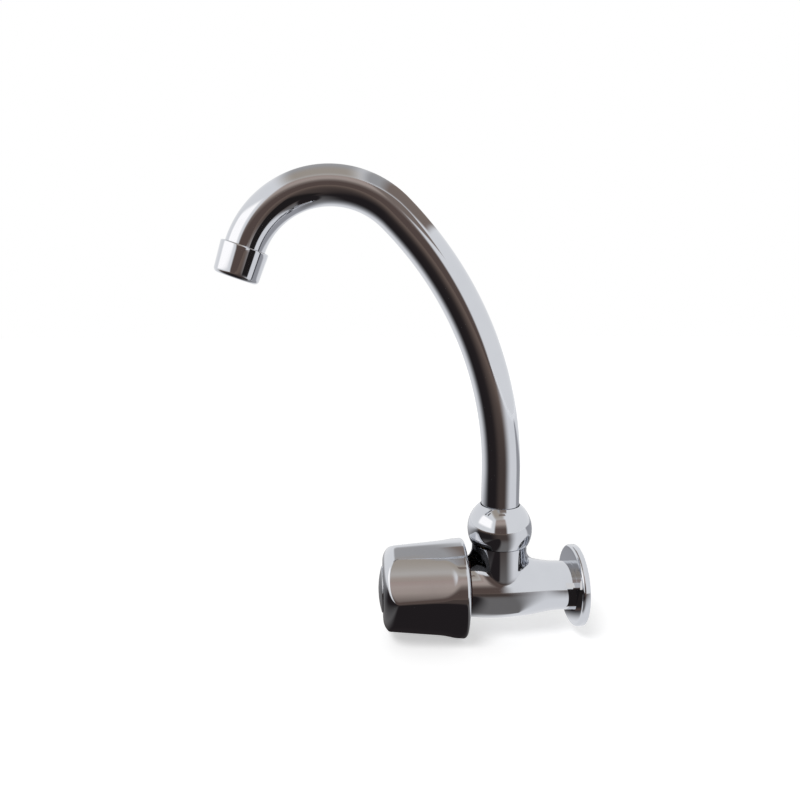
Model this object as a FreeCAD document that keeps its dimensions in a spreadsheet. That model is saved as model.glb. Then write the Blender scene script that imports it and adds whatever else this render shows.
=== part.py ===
import FreeCAD
import Part
import Sketcher
import math
import os
import re

# A wall-mounted kitchen tap: a cast body with a wall flange, a screw-down valve with a
# faceted knob, and a swan-neck spout that swivels in the body's neck.
# Millimetres, +Z up. The wall is the plane y = 0 and the tap comes out of it towards -Y.
# The valve's axis is the line x = 0, z = 0.

# Every size is written once, here: its name, its number and what it measures.
SIZES = [
    # Wall flange, pressed from sheet
    ("flange_od", 43.0, "outside diameter of the wall flange"),
    ("flange_depth", 4.0, "from the wall to the flange's front"),
    ("flange_wall", 1.0, "thickness of the flange's sheet"),
    ("flange_edge", 1.6, "radius of the flange's front edge"),
    # Cast body
    ("tail_od", 25.6, "diameter of the tail behind the swell"),
    ("tail_step", 0.4, "radial step that the flange rests against"),
    ("tail_straight", 11.0, "where the tail's swell starts, from the wall"),
    ("belly_od", 32.2, "largest diameter of the barrel"),
    ("belly_lead", 1.5, "largest diameter in front of the neck's axis"),
    ("swell_share", 0.28, "share of the hollow arc in the tail's swell"),
    ("neck_distance", 43.5, "neck's axis from the wall"),
    ("front_reach", 16.5, "barrel's front face from the neck's axis"),
    ("neck_inset", 1.6, "neck's side inside the barrel's side"),
    ("neck_height", 25.0, "neck's shoulder above the valve's axis"),
    ("neck_shoulder", 1.5, "shoulder under the thread that takes the spout nut"),
    ("neck_thread_length", 10.0, "length of that thread"),
    ("neck_fillet", 8.0, "radius where the neck meets the barrel"),
    ("inlet_thread_od", 20.955, "G 1/2 pipe thread, major diameter"),
    ("inlet_minor_dia", 18.631, "G 1/2 pipe thread, minor diameter"),
    ("inlet_pitch", 1.814, "G 1/2 pipe thread, pitch"),
    ("inlet_depth", 14.0, "depth of the inlet socket"),
    ("inlet_chamfer", 1.2, "lead-in of the inlet socket"),
    ("groove_share", 0.75, "share of the pitch that is open groove"),
    ("root_share", 0.1, "share of the pitch that is flat at the groove's bottom"),
    ("waterway_dia", 14.0, "waterway through the body"),
    ("seat_setback", 13.5, "valve seat behind the neck's axis"),
    ("seat_bore", 12.0, "hole through the valve seat"),
    ("seat_lip_od", 16.0, "outside of the seat's raised lip"),
    ("seat_lip_height", 2.5, "height of that lip"),
    ("seat_length", 5.0, "length of the seat's hole"),
    ("chamber_dia", 21.0, "valve chamber, and thread for the bonnet"),
    # Spout swivel
    ("swivel_bore", 20.0, "bore in the neck for the spout's bush"),
    ("swivel_gap", 0.08, "radial running clearance of the swivel"),
    ("thread_gap", 0.06, "radial clearance between screwed pieces"),
    ("seat_gap", 0.05, "radial clearance of a piece set in a bore"),
    ("free_gap", 0.35, "radial clearance between pieces that pass each other"),
    ("slip_thickness", 1.0, "thickness of each nylon slip washer"),
    ("collar_inset", 1.1, "bush's collar inside the neck's thread"),
    ("bush_collar_height", 5.0, "height of that collar"),
    ("bush_spigot_length", 19.0, "bush below the neck's rim"),
    ("bush_end_gap", 1.5, "space under the bush"),
    ("bush_bore", 13.0, "waterway through the bush"),
    ("tube_socket_depth", 4.0, "depth to which the tube sits in the bush"),
    ("bush_ring_section", 1.96, "section of the spout's sealing rings"),
    ("bush_ring_low", 4.6, "lower sealing ring above the bush's end"),
    ("bush_ring_step", 7.5, "from the lower to the upper sealing ring"),
    ("ring_groove_slack", 0.3, "extra width of a sealing ring's groove"),
    ("nut_ball_od", 34.0, "diameter of the ball-shaped spout nut"),
    ("nut_gap", 0.4, "gap under the nut"),
    ("nut_skirt", 7.6, "ball's centre above the nut's lower face"),
    # Spout
    ("tube_od", 20.0, "outside diameter of the spout's tube"),
    ("tube_wall", 1.2, "wall of the tube"),
    ("straight_rise", 22.0, "straight tube above the slip washer"),
    ("rise_radius", 184.0, "radius of the long bend"),
    ("rise_turn_angle", 45.8, "angle of the long bend, degrees"),
    ("crook_radius", 45.1, "radius of the tight bend"),
    ("outlet_turn_angle", 161.0, "direction of the outlet, degrees from upright"),
    ("end_straight", 7.2, "straight tube after the tight bend"),
    # Outlet
    ("ferrule_wall", 0.9, "wall of the threaded ferrule on the tube's end"),
    ("ferrule_length", 7.6, "length of that ferrule"),
    ("shell_length", 16.0, "length of the aerator's shell"),
    ("shell_overlap", 8.0, "shell above the tube's end"),
    ("shell_wall", 0.89, "shell's wall under its shoulder"),
    ("shell_taper", 0.6, "drop of the shell's radius towards the outlet"),
    ("shell_shoulder", 1.1, "height of the shell's shoulder"),
    ("shell_edge", 1.4, "radius of the shell's lower edge"),
    ("shell_lip_bore", 17.6, "opening at the shell's end"),
    ("shell_lip_height", 0.8, "height of the lip around it"),
    ("shell_throat", 19.4, "shell's bore above the lip"),
    ("gasket_bore", 15.0, "hole in the aerator's gasket"),
    ("gasket_thickness", 1.5, "thickness of that gasket"),
    ("insert_flange", 1.0, "thickness of the insert's flange"),
    ("insert_depth", 2.6, "insert below its flange"),
    ("insert_hole", 2.4, "diameter of the insert's jets"),
    ("insert_hole_ring", 11.6, "circle on which the jets lie"),
    ("insert_holes", 8, "number of jets"),
    ("screen_thickness", 0.4, "thickness of each screen"),
    ("screen_pitch", 1.7, "pitch of the screen's openings"),
    ("screen_opening", 1.15, "width of the screen's openings"),
    ("screen_rim", 1.0, "plain rim of the screen"),
    # Valve
    ("valve_lift", 5.0, "travel of the valve"),
    ("lift_gap", 0.8, "space left at the end of that travel"),
    ("valve_washer_od", 17.0, "rubber valve washer"),
    ("valve_washer_thickness", 3.5, "thickness of that washer"),
    ("washer_screw_dia", 3.0, "screw through the valve washer"),
    ("washer_screw_head", 6.0, "head of that screw"),
    ("washer_screw_head_height", 1.8, "height of its head"),
    ("washer_screw_bite", 2.0, "length of that screw in the piston"),
    ("piston_od", 18.4, "piston's flange"),
    ("piston_flange", 2.5, "thickness of the piston's flange"),
    ("piston_flats", 12.6, "piston's stem across flats"),
    ("piston_stem", 11.0, "length of that stem"),
    ("guide_gap", 0.2, "clearance of the stem across flats"),
    # Bonnet
    ("skirt_gap", 0.8, "radial clearance of the bonnet's skirt in the chamber"),
    ("bonnet_bite", 12.0, "bonnet's thread in the body"),
    ("bonnet_washer_od", 27.0, "fibre washer under the bonnet"),
    ("bonnet_washer_thickness", 1.0, "thickness of that washer"),
    ("bonnet_flats", 24.0, "bonnet's hexagon across flats"),
    ("bonnet_hex", 6.0, "length of the hexagon"),
    ("bonnet_boss_od", 17.0, "boss in front of the hexagon"),
    ("bonnet_boss", 3.0, "length of that boss"),
    # Spindle
    ("spindle_dia", 9.8, "spindle in the bonnet"),
    ("spindle_gap", 0.06, "radial running clearance of the spindle"),
    ("spindle_thread", 8.4, "thread on which the piston travels"),
    ("collar_od", 12.2, "spindle's thrust collar"),
    ("collar_thickness", 2.5, "thickness of that collar"),
    ("thrust_thickness", 0.8, "thickness of the thrust washer"),
    ("spindle_ring_section", 1.6, "section of the spindle's sealing rings"),
    ("spindle_ring_low", 4.0, "first sealing ring from the bonnet's shoulder"),
    ("spindle_ring_step", 5.4, "from the first to the second sealing ring"),
    ("clip_thickness", 0.9, "thickness of the spindle's clip"),
    ("clip_od", 13.6, "outside diameter of the clip"),
    ("clip_groove_dia", 7.8, "bottom of the clip's groove"),
    ("clip_slack", 0.1, "clearance of the clip along the spindle"),
    ("clip_turn_angle", 300.0, "part of a turn that the clip covers, degrees"),
    ("drive_setback", 3.0, "square drive in front of the bonnet"),
    ("drive_length", 14.0, "length of the square drive"),
    ("drive_flats", 7.2, "square drive across flats"),
    ("drive_gap", 0.1, "clearance of the square drive across flats"),
    ("knob_screw_dia", 4.0, "screw that holds the knob"),
    ("knob_screw_length", 13.0, "length of that screw under its head"),
    ("knob_screw_head", 7.6, "head of that screw"),
    ("knob_screw_head_height", 2.4, "height of its head"),
    ("knob_screw_slot", 1.0, "width of its slot"),
    ("knob_screw_slot_depth", 1.1, "depth of its slot"),
    ("knob_screw_room", 1.5, "tapped hole past the screw's end"),
    # Knob
    ("knob_gap", 2.2, "gap between the barrel and the knob"),
    ("knob_length", 43.8, "length of the knob"),
    ("knob_back_od", 52.0, "largest diameter of the knob, before its back rounding"),
    ("knob_front_od", 47.4, "diameter of the knob's front before its rounding"),
    ("knob_back_edge", 1.8, "radius of the knob's back edge"),
    ("knob_front_edge", 8.5, "radius of the knob's front edge"),
    ("facet_lead", 2.0, "how far outside the drum the facets' ends start"),
    ("facet_run", 9.6, "length of the facets' steep ends at the knob's back"),
    ("facet_depth", 1.45, "depth of the facets where those ends stop"),
    ("facet_front_depth", 2.5, "depth of the facets at the knob's front"),
    ("facet_bulge", 62.0, "radius across each facet"),
    ("knob_set_angle", 34.0, "turn of the knob at rest, degrees"),
    ("cavity_back_dia", 40.0, "knob's hollow at the back"),
    ("cavity_front_dia", 36.0, "knob's hollow at its end"),
    ("cavity_depth", 29.0, "depth of that hollow"),
    ("hub_od", 25.0, "knob's hub"),
    ("hub_setback", 2.0, "hub's back face in front of the bonnet"),
    ("knob_bush_flats", 13.0, "brass bush in the hub, across flats"),
    ("knob_web", 2.2, "web under the knob's screw"),
    ("cap_recess", 21.0, "recess in the knob's front"),
    ("cap_od", 24.0, "cap over that recess"),
    ("cap_edge", 0.6, "thickness of the cap at its edge"),
    ("cap_rise", 2.4, "cap's middle in front of the knob"),
    ("cap_wall", 2.0, "wall of the cap"),
    ("cap_skirt", 8.0, "cap's skirt inside the recess"),
]

# Places and sizes that follow from the ones above, each written once.
# Along the valve's axis they are distances from the wall, at the neck they are heights.
PLACES = {
    "tail_r": "tail_od / 2",
    "spigot_r": "tail_r - tail_step",
    "belly_r": "belly_od / 2",
    "belly_place": "neck_distance + belly_lead",
    "body_front": "neck_distance + front_reach",
    "swell_angle": "2 * atan((belly_r - tail_r) / (belly_place - tail_straight))",
    "swell_radius": "(belly_place - tail_straight) / sin(swell_angle)",
    "hollow_radius": "swell_radius * swell_share",
    "belly_radius": "swell_radius * (1 - swell_share)",
    "swell_place": "tail_straight + hollow_radius * sin(swell_angle)",
    "swell_r": "tail_r + hollow_radius * (1 - cos(swell_angle))",
    "neck_r": "belly_r - neck_inset",
    "neck_thread_r": "neck_r - neck_shoulder",
    "casting_end": "body_front + neck_r + neck_fillet",
    "casting_r": "belly_r - belly_radius + sqrt(belly_radius ^ 2 - (casting_end - belly_place) ^ 2)",
    "seat_face": "neck_distance - seat_setback",
    "seat_start": "seat_face - seat_length",
    "groove_middle": "inlet_chamfer + inlet_pitch / 2",
    "groove_half": "inlet_pitch * groove_share / 2",
    "root_half": "inlet_pitch * root_share / 2",
    "neck_rim": "neck_height + neck_thread_length",
    "collar_under": "neck_rim + slip_thickness",
    "collar_top": "collar_under + bush_collar_height",
    "nut_roof": "collar_top + slip_thickness",
    "bush_end": "neck_rim - bush_spigot_length",
    "bush_collar_r": "neck_thread_r - collar_inset",
    "bush_r": "swivel_bore / 2 - swivel_gap",
    "bush_ring_r": "swivel_bore / 2 - swivel_gap / 2 - bush_ring_section / 2",
    "bush_groove_r": "bush_ring_r - bush_ring_section / 2",
    "bush_groove_half": "bush_ring_section / 2 + ring_groove_slack / 2",
    "bush_ring_one": "bush_end + bush_ring_low",
    "bush_ring_two": "bush_ring_one + bush_ring_step",
    "tube_r": "tube_od / 2",
    "tube_foot": "collar_top - tube_socket_depth",
    "slip_bore_r": "tube_r + free_gap",
    "nut_thread_r": "neck_thread_r + thread_gap",
    "nut_relief_r": "bush_collar_r + free_gap",
    "nut_bottom": "neck_height + nut_gap",
    "nut_centre": "nut_bottom + nut_skirt",
    "nut_bottom_r": "sqrt(nut_ball_od ^ 2 / 4 - nut_skirt ^ 2)",
    "nut_top": "nut_centre + sqrt(nut_ball_od ^ 2 / 4 - slip_bore_r ^ 2)",
    "bend_start": "nut_roof + straight_rise",
    "rise_angle": "rise_turn_angle * 1 deg",
    "outlet_angle": "outlet_turn_angle * 1 deg",
    "crook_y": "rise_radius - (rise_radius - crook_radius) * cos(rise_angle)",
    "crook_z": "bend_start + (rise_radius - crook_radius) * sin(rise_angle)",
    "rise_end_y": "rise_radius * (1 - cos(rise_angle))",
    "rise_end_z": "bend_start + rise_radius * sin(rise_angle)",
    "crook_end_y": "crook_y - crook_radius * cos(outlet_angle)",
    "crook_end_z": "crook_z + crook_radius * sin(outlet_angle)",
    "outlet_y": "crook_end_y + end_straight * sin(outlet_angle)",
    "outlet_z": "crook_end_z + end_straight * cos(outlet_angle)",
    "ferrule_r": "tube_r + seat_gap + ferrule_wall",
    "shell_thread_r": "ferrule_r + thread_gap",
    "shell_top_r": "shell_thread_r + shell_wall",
    "shell_end_r": "shell_top_r - shell_taper",
    "shell_end": "shell_length - shell_overlap",
    "insert_place": "gasket_thickness",
    "shell_ledge": "insert_place + insert_flange",
    "insert_end": "shell_ledge + insert_depth",
    "lip_top": "shell_end - shell_lip_height",
    "washer_back": "seat_face + valve_washer_thickness",
    "piston_front": "washer_back + piston_flange",
    "piston_end": "piston_front + piston_stem",
    "skirt_end": "piston_front + valve_lift + lift_gap",
    "guide_flats": "piston_flats + guide_gap",
    "skirt_r": "chamber_dia / 2 - skirt_gap",
    "collar_back": "piston_end + valve_lift + lift_gap",
    "collar_front": "collar_back + collar_thickness",
    "thrust_face": "collar_front + thrust_thickness",
    "bonnet_back": "body_front - bonnet_bite",
    "bonnet_thread_r": "chamber_dia / 2 - thread_gap",
    "hex_back": "body_front + bonnet_washer_thickness",
    "hex_front": "hex_back + bonnet_hex",
    "bonnet_front": "hex_front + bonnet_boss",
    "spindle_r": "spindle_dia / 2",
    "spindle_bore_r": "spindle_r + spindle_gap",
    "spindle_ring_r": "spindle_bore_r - spindle_gap / 2 - spindle_ring_section / 2",
    "spindle_groove_r": "spindle_ring_r - spindle_ring_section / 2",
    "spindle_groove_half": "spindle_ring_section / 2 + ring_groove_slack / 2",
    "spindle_ring_one": "thrust_face + spindle_ring_low",
    "spindle_ring_two": "spindle_ring_one + spindle_ring_step",
    "clip_back": "bonnet_front + clip_slack",
    "clip_front": "clip_back + clip_thickness",
    "drive_start": "bonnet_front + drive_setback",
    "drive_end": "drive_start + drive_length",
    "web_front": "drive_end + knob_web",
    "knob_back": "body_front + knob_gap",
    "knob_front": "knob_back + knob_length",
    "front_edge_place": "knob_front - knob_front_edge",
    "front_edge_r": "knob_front_od / 2 - knob_front_edge",
    "back_slack": "facet_bulge - knob_back_od / 2 - facet_lead",
    "run_slack": "facet_bulge - knob_back_od / 2 + facet_depth",
    "front_slack": "facet_bulge - knob_front_od / 2 + facet_front_depth",
    "back_corner": "(sqrt(2 * facet_bulge ^ 2 - back_slack ^ 2) - back_slack) / 2",
    "run_corner": "(sqrt(2 * facet_bulge ^ 2 - run_slack ^ 2) - run_slack) / 2",
    "front_corner": "(sqrt(2 * facet_bulge ^ 2 - front_slack ^ 2) - front_slack) / 2",
    "hub_back": "bonnet_front + hub_setback",
    "bush_pocket_flats": "knob_bush_flats + drive_gap",
    "cavity_end": "knob_back + cavity_depth",
    "cap_skirt_r": "cap_recess / 2 - seat_gap",
    "cap_bore_r": "cap_skirt_r - cap_wall",
    "cap_edge_place": "knob_front + cap_edge",
    "cap_dome": "((cap_od / 2) ^ 2 + (cap_rise - cap_edge) ^ 2) / (2 * (cap_rise - cap_edge))",
}

# Where a piece's own axis starts and how far it is turned about X: y, z and degrees.
AXES = {
    "valve": ("0", "0", "90"),
    "neck": ("-neck_distance", "0", "0"),
    "outlet": ("-(neck_distance + outlet_y)", "outlet_z", "outlet_turn_angle"),
}

SMALLEST_CUT = 0.01

doc = FreeCAD.newDocument("kitchen_tap")
sheet = doc.addObject("Spreadsheet::Sheet", "sizes")
for row, (alias, number, meaning) in enumerate(SIZES, start=1):
    sheet.set(f"A{row}", meaning)
    sheet.set(f"B{row}", str(number))
    sheet.setAlias(f"B{row}", alias)
doc.recompute()

ALIASES = {alias for alias, number, meaning in SIZES}
nodes = []


def full(text):
    """Writes an expression out in the sheet's own names."""

    def swap(match):
        word = match.group(0)
        if word in PLACES:
            return "(" + full(PLACES[word]) + ")"
        return "sizes." + word if word in ALIASES else word

    return re.sub(r"[a-z_][a-z_0-9]*", swap, text)


def value(text):
    """Gives the number that an expression stands for now."""
    result = sheet.evalExpression(full(text))
    return float(getattr(result, "Value", result))


def bind(item, prop, text):
    """Ties a property to the sheet."""
    item.setExpression(prop, full(text))


def set_on_axis(item, axis, along="0"):
    """Sets an object on one of the tap's axes, some way along it."""
    y, z, turn = AXES[axis]
    rotation = FreeCAD.Rotation(FreeCAD.Vector(1, 0, 0), value(turn))
    item.Placement = FreeCAD.Placement(FreeCAD.Vector(), rotation)
    bind(item, "Placement.Base.y", f"{y} - ({along}) * sin(({turn}) * 1 deg)")
    bind(item, "Placement.Base.z", f"{z} + ({along}) * cos(({turn}) * 1 deg)")
    bind(item, "Placement.Rotation.Angle", f"({turn}) * 1 deg")


def new_body(name, axis):
    """Starts a body whose own Z axis runs along one of the tap's axes."""
    body = doc.addObject("PartDesign::Body", name)
    body.Label = name
    set_on_axis(body, axis)
    nodes.append(body)
    return body


def new_sketch(body, name, plane, along="0", turn="0"):
    """Adds a sketch on one of the body's planes, moved along that plane's normal."""
    sketch = body.newObject("Sketcher::SketchObject", name)
    planes = {item.Role: item for item in body.Origin.OriginFeatures}
    sketch.AttachmentSupport = (planes[plane], [""])
    sketch.MapMode = "FlatFace"
    bind(sketch, "AttachmentOffset.Base.z", along)
    bind(sketch, "AttachmentOffset.Rotation.Angle", f"({turn}) * 1 deg")
    return sketch


def fix_point(sketch, edge, end, u, v):
    """Ties one end of an edge to its two coordinates."""
    across = sketch.addConstraint(Sketcher.Constraint("DistanceX", edge, end, value(u)))
    bind(sketch, f"Constraints[{across}]", u)
    along = sketch.addConstraint(Sketcher.Constraint("DistanceY", edge, end, value(v)))
    bind(sketch, f"Constraints[{along}]", v)


def arc_between(start, end, radius):
    """Gives the shorter arc that turns left on its way from start to end."""
    half = (end - start) * 0.5
    height = math.sqrt(max(radius ** 2 - half.Length ** 2, 0.0))
    left = FreeCAD.Vector(-half.y, half.x, 0).normalize()
    centre = start + half + left * height
    circle = Part.Circle(centre, FreeCAD.Vector(0, 0, 1), radius)
    first = math.atan2(start.y - centre.y, start.x - centre.x)
    last = math.atan2(end.y - centre.y, end.x - centre.x)
    if last < first:
        last += 2 * math.pi
    return Part.ArcOfCircle(circle, first, last)


def draw(sketch, corners, closed=True):
    """Draws a run of edges through corners that are tied to the sheet.

    A corner is (u, v), or (u, v, radius, side) where the edge that leaves it is an arc
    which turns to that side, left or right.
    """
    spots = [FreeCAD.Vector(value(corner[0]), value(corner[1]), 0) for corner in corners]
    count = len(corners) if closed else len(corners) - 1
    edges = []
    for index in range(count):
        corner = corners[index]
        start = spots[index]
        end = spots[(index + 1) % len(spots)]
        if len(corner) == 2:
            edges.append((sketch.addGeometry(Part.LineSegment(start, end)), 1, 2))
            continue
        radius = value(corner[2])
        if corner[3] == "left":
            edges.append((sketch.addGeometry(arc_between(start, end, radius)), 1, 2))
        else:
            edges.append((sketch.addGeometry(arc_between(end, start, radius)), 2, 1))
    for index, (edge, first, last) in enumerate(edges):
        corner = corners[index]
        fix_point(sketch, edge, first, corner[0], corner[1])
        if index + 1 < count or closed:
            following, start, _ = edges[(index + 1) % count]
            sketch.addConstraint(Sketcher.Constraint("Coincident", edge, last, following, start))
        else:
            fix_point(sketch, edge, last, corners[-1][0], corners[-1][1])
        if len(corner) == 4:
            size = sketch.addConstraint(Sketcher.Constraint("Radius", edge, value(corner[2])))
            bind(sketch, f"Constraints[{size}]", corner[2])


def draw_circle(sketch, radius, u="0", v="0"):
    """Draws a circle that is tied to the sheet."""
    spot = FreeCAD.Vector(value(u), value(v), 0)
    edge = sketch.addGeometry(Part.Circle(spot, FreeCAD.Vector(0, 0, 1), value(radius)))
    fix_point(sketch, edge, 3, u, v)
    size = sketch.addConstraint(Sketcher.Constraint("Radius", edge, value(radius)))
    bind(sketch, f"Constraints[{size}]", radius)


def hexagon(flats):
    """Gives the corners of a hexagon of a size across its flats."""
    half = f"({flats}) / 2"
    side = f"({flats}) / (2 * sqrt(3))"
    return [
        (half, f"-{side}"),
        (half, side),
        ("0", f"2 * {side}"),
        (f"-{half}", side),
        (f"-{half}", f"-{side}"),
        ("0", f"-2 * {side}"),
    ]


def rectangle(inner, outer, low, high):
    """Gives the corners of a plain ring's section."""
    return [(inner, low), (outer, low), (outer, high), (inner, high)]


def cutting(body, feature):
    """Checks that a cut took something away."""
    before = body.Tip.Shape.Volume if body.Tip is not feature else feature.BaseFeature.Shape.Volume
    doc.recompute()
    if before - feature.Shape.Volume < SMALLEST_CUT:
        raise ValueError(f"{feature.Name} takes nothing away")
    return feature


def revolve(body, name, corners, angle="360"):
    """Turns a section about the body's own axis."""
    sketch = new_sketch(body, name + "_section", "YZ_Plane")
    draw(sketch, corners)
    feature = body.newObject("PartDesign::Revolution", name)
    feature.Profile = sketch
    feature.ReferenceAxis = (sketch, ["V_Axis"])
    bind(feature, "Angle", f"({angle}) * 1 deg")
    doc.recompute()
    return feature


def turn_out(body, name, corners):
    """Cuts a section away all round the body's own axis."""
    sketch = new_sketch(body, name + "_section", "YZ_Plane")
    draw(sketch, corners)
    feature = body.newObject("PartDesign::Groove", name)
    feature.Profile = sketch
    feature.ReferenceAxis = (sketch, ["V_Axis"])
    feature.Angle = 360
    return cutting(body, feature)


def pad(body, name, outlines, start, length):
    """Raises flat outlines along the body's own axis."""
    sketch = new_sketch(body, name + "_outline", "XY_Plane", start)
    for corners in outlines:
        draw(sketch, corners)
    feature = body.newObject("PartDesign::Pad", name)
    feature.Profile = sketch
    bind(feature, "Length", length)
    doc.recompute()
    return feature


def pocket(body, name, outlines, start, length, circles=()):
    """Cuts flat outlines away along the body's own axis, from start onwards."""
    sketch = new_sketch(body, name + "_outline", "XY_Plane", start)
    for corners in outlines:
        draw(sketch, corners)
    for circle in circles:
        draw_circle(sketch, *circle)
    feature = body.newObject("PartDesign::Pocket", name)
    feature.Profile = sketch
    feature.Reversed = True
    bind(feature, "Length", length)
    return cutting(body, feature)


def turned(name, axis, corners, angle="360"):
    """Makes a piece that is turned in one go."""
    body = new_body(name, axis)
    revolve(body, name + "_turned", corners, angle)
    return body


def sealing_rings(name, axis, radius, section, places):
    """Makes a node of equal sealing rings along an axis."""
    rings = []
    for place in places:
        ring = doc.addObject("Part::Torus", name + "_ring")
        bind(ring, "Radius1", radius)
        bind(ring, "Radius2", f"({section}) / 2")
        set_on_axis(ring, axis, place)
        rings.append(ring)
    group = doc.addObject("Part::Compound", name)
    group.Label = name
    group.Links = rings
    nodes.append(group)
    return group


def grooved(radius, groove_radius, half, places):
    """Gives the run of corners along a shaft that has sealing ring grooves."""
    run = []
    for place in places:
        run.append((radius, f"{place} - {half}"))
        run.append((groove_radius, f"{place} - {half}"))
        run.append((groove_radius, f"{place} + {half}"))
        run.append((radius, f"{place} + {half}"))
    return run


def edges_on(shape, test):
    """Gives the names of the edges that pass a test."""
    return [f"Edge{index}" for index, edge in enumerate(shape.Edges, start=1) if test(edge)]


def make_body_casting():
    """Makes the cast body: barrel, neck, waterways, seat and inlet thread.

    The barrel's section lies under its axis, which keeps its seam away from the neck's blend.
    The barrel starts too long, so that the blend doesn't run off its front, and is faced off.
    """
    body = new_body("tap_body", "valve")
    revolve(body, "barrel", [
        ("0", "0"),
        ("-spigot_r", "0"),
        ("-spigot_r", "flange_depth"),
        ("-tail_r", "flange_depth"),
        ("-tail_r", "tail_straight", "hollow_radius", "left"),
        ("-swell_r", "swell_place", "belly_radius", "right"),
        ("-casting_r", "casting_end"),
        ("0", "casting_end"),
    ])
    section = new_sketch(body, "neck_section", "YZ_Plane")
    draw(section, [
        ("0", "neck_distance"),
        ("0", "neck_distance + neck_r"),
        ("neck_height", "neck_distance + neck_r"),
        ("neck_height", "neck_distance + neck_thread_r"),
        ("neck_rim", "neck_distance + neck_thread_r"),
        ("neck_rim", "neck_distance"),
    ])
    add_neck_axis(section)
    neck = body.newObject("PartDesign::Revolution", "neck")
    neck.Profile = section
    neck.ReferenceAxis = (section, ["Axis0"])
    neck.Angle = 360
    doc.recompute()

    def is_joint(edge):
        return edge.Curve.TypeId not in ("Part::GeomCircle", "Part::GeomLine")

    fillet = body.newObject("PartDesign::Fillet", "neck_blend")
    fillet.Base = (neck, edges_on(neck.Shape, is_joint))
    bind(fillet, "Radius", "neck_fillet")
    doc.recompute()

    turn_out(body, "front_facing", rectangle(
        "0", "neck_rim + belly_r", "body_front", "casting_end + belly_r"))
    turn_out(body, "valve_bore", [
        ("0", "0"),
        ("inlet_minor_dia / 2 + inlet_chamfer", "0"),
        ("inlet_minor_dia / 2", "inlet_chamfer"),
        ("inlet_minor_dia / 2", "inlet_depth"),
        ("waterway_dia / 2", "inlet_depth + (inlet_minor_dia - waterway_dia) / 2"),
        ("waterway_dia / 2", "seat_start"),
        ("seat_bore / 2", "seat_start + (waterway_dia - seat_bore) / 2"),
        ("seat_bore / 2", "seat_face"),
        ("seat_lip_od / 2", "seat_face"),
        ("seat_lip_od / 2", "seat_face - seat_lip_height"),
        ("chamber_dia / 2", "seat_face - seat_lip_height"),
        ("chamber_dia / 2", "body_front"),
        ("0", "body_front"),
    ])
    section = new_sketch(body, "neck_bore_section", "YZ_Plane")
    draw(section, [
        ("0", "neck_distance"),
        ("0", "neck_distance + waterway_dia / 2"),
        ("bush_end - bush_end_gap", "neck_distance + waterway_dia / 2"),
        ("bush_end - bush_end_gap", "neck_distance + swivel_bore / 2"),
        ("neck_rim", "neck_distance + swivel_bore / 2"),
        ("neck_rim", "neck_distance"),
    ])
    add_neck_axis(section)
    bore = body.newObject("PartDesign::Groove", "neck_bore")
    bore.Profile = section
    bore.ReferenceAxis = (section, ["Axis0"])
    bore.Angle = 360
    cutting(body, bore)

    groove = turn_out(body, "inlet_groove", [
        ("inlet_minor_dia / 2 - seat_gap", "groove_middle - groove_half"),
        ("inlet_thread_od / 2", "groove_middle - root_half"),
        ("inlet_thread_od / 2", "groove_middle + root_half"),
        ("inlet_minor_dia / 2 - seat_gap", "groove_middle + groove_half"),
    ])
    thread = body.newObject("PartDesign::LinearPattern", "inlet_thread")
    thread.Originals = [groove]
    thread.Direction = (groove.Profile[0], ["V_Axis"])
    turns = "floor((inlet_depth - inlet_chamfer) / inlet_pitch)"
    bind(thread, "Length", f"inlet_pitch * ({turns} - 1)")
    bind(thread, "Occurrences", turns)
    body.Tip = thread
    doc.recompute()
    return body


def add_neck_axis(sketch):
    """Adds the neck's axis to a sketch of the body, as a line to turn about."""
    place = value("neck_distance")
    line = Part.LineSegment(FreeCAD.Vector(0, place, 0), FreeCAD.Vector(value("neck_rim"), place, 0))
    axis = sketch.addGeometry(line, True)
    fix_point(sketch, axis, 1, "0", "neck_distance")
    fix_point(sketch, axis, 2, "neck_rim", "neck_distance")


def make_wall_flange():
    """Makes the pressed flange that covers the hole in the wall."""
    return turned("wall_flange", "valve", [
        ("spigot_r + seat_gap", "flange_depth - flange_wall"),
        ("flange_od / 2 - flange_wall", "flange_depth - flange_wall"),
        ("flange_od / 2 - flange_wall", "0"),
        ("flange_od / 2", "0"),
        ("flange_od / 2", "flange_depth - flange_edge", "flange_edge", "left"),
        ("flange_od / 2 - flange_edge", "flange_depth"),
        ("spigot_r + seat_gap", "flange_depth"),
    ])


def make_swivel():
    """Makes the pieces that hold the spout in the neck and let it swivel."""
    turned("spout_nut", "neck", [
        ("nut_thread_r", "nut_bottom"),
        ("nut_bottom_r", "nut_bottom", "nut_ball_od / 2", "left"),
        ("slip_bore_r", "nut_top"),
        ("slip_bore_r", "nut_roof"),
        ("nut_relief_r", "nut_roof"),
        ("nut_relief_r", "neck_rim + nut_gap"),
        ("nut_thread_r", "neck_rim + nut_gap"),
    ])
    turned("slip_washer", "neck", rectangle(
        "swivel_bore / 2 + seat_gap", "bush_collar_r", "neck_rim", "collar_under"))
    turned("slip_ring", "neck", rectangle(
        "slip_bore_r", "bush_collar_r", "collar_top", "nut_roof"))
    rings = ["bush_ring_one", "bush_ring_two"]
    turned("spout_bush", "neck", [
        ("bush_bore / 2", "bush_end"),
        ("bush_r", "bush_end"),
        *grooved("bush_r", "bush_groove_r", "bush_groove_half", rings),
        ("bush_r", "collar_under"),
        ("bush_collar_r", "collar_under"),
        ("bush_collar_r", "collar_top"),
        ("tube_r + seat_gap", "collar_top"),
        ("tube_r + seat_gap", "tube_foot"),
        ("bush_bore / 2", "tube_foot"),
    ])
    sealing_rings("spout_o_rings", "neck", "bush_ring_r", "bush_ring_section", rings)


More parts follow.
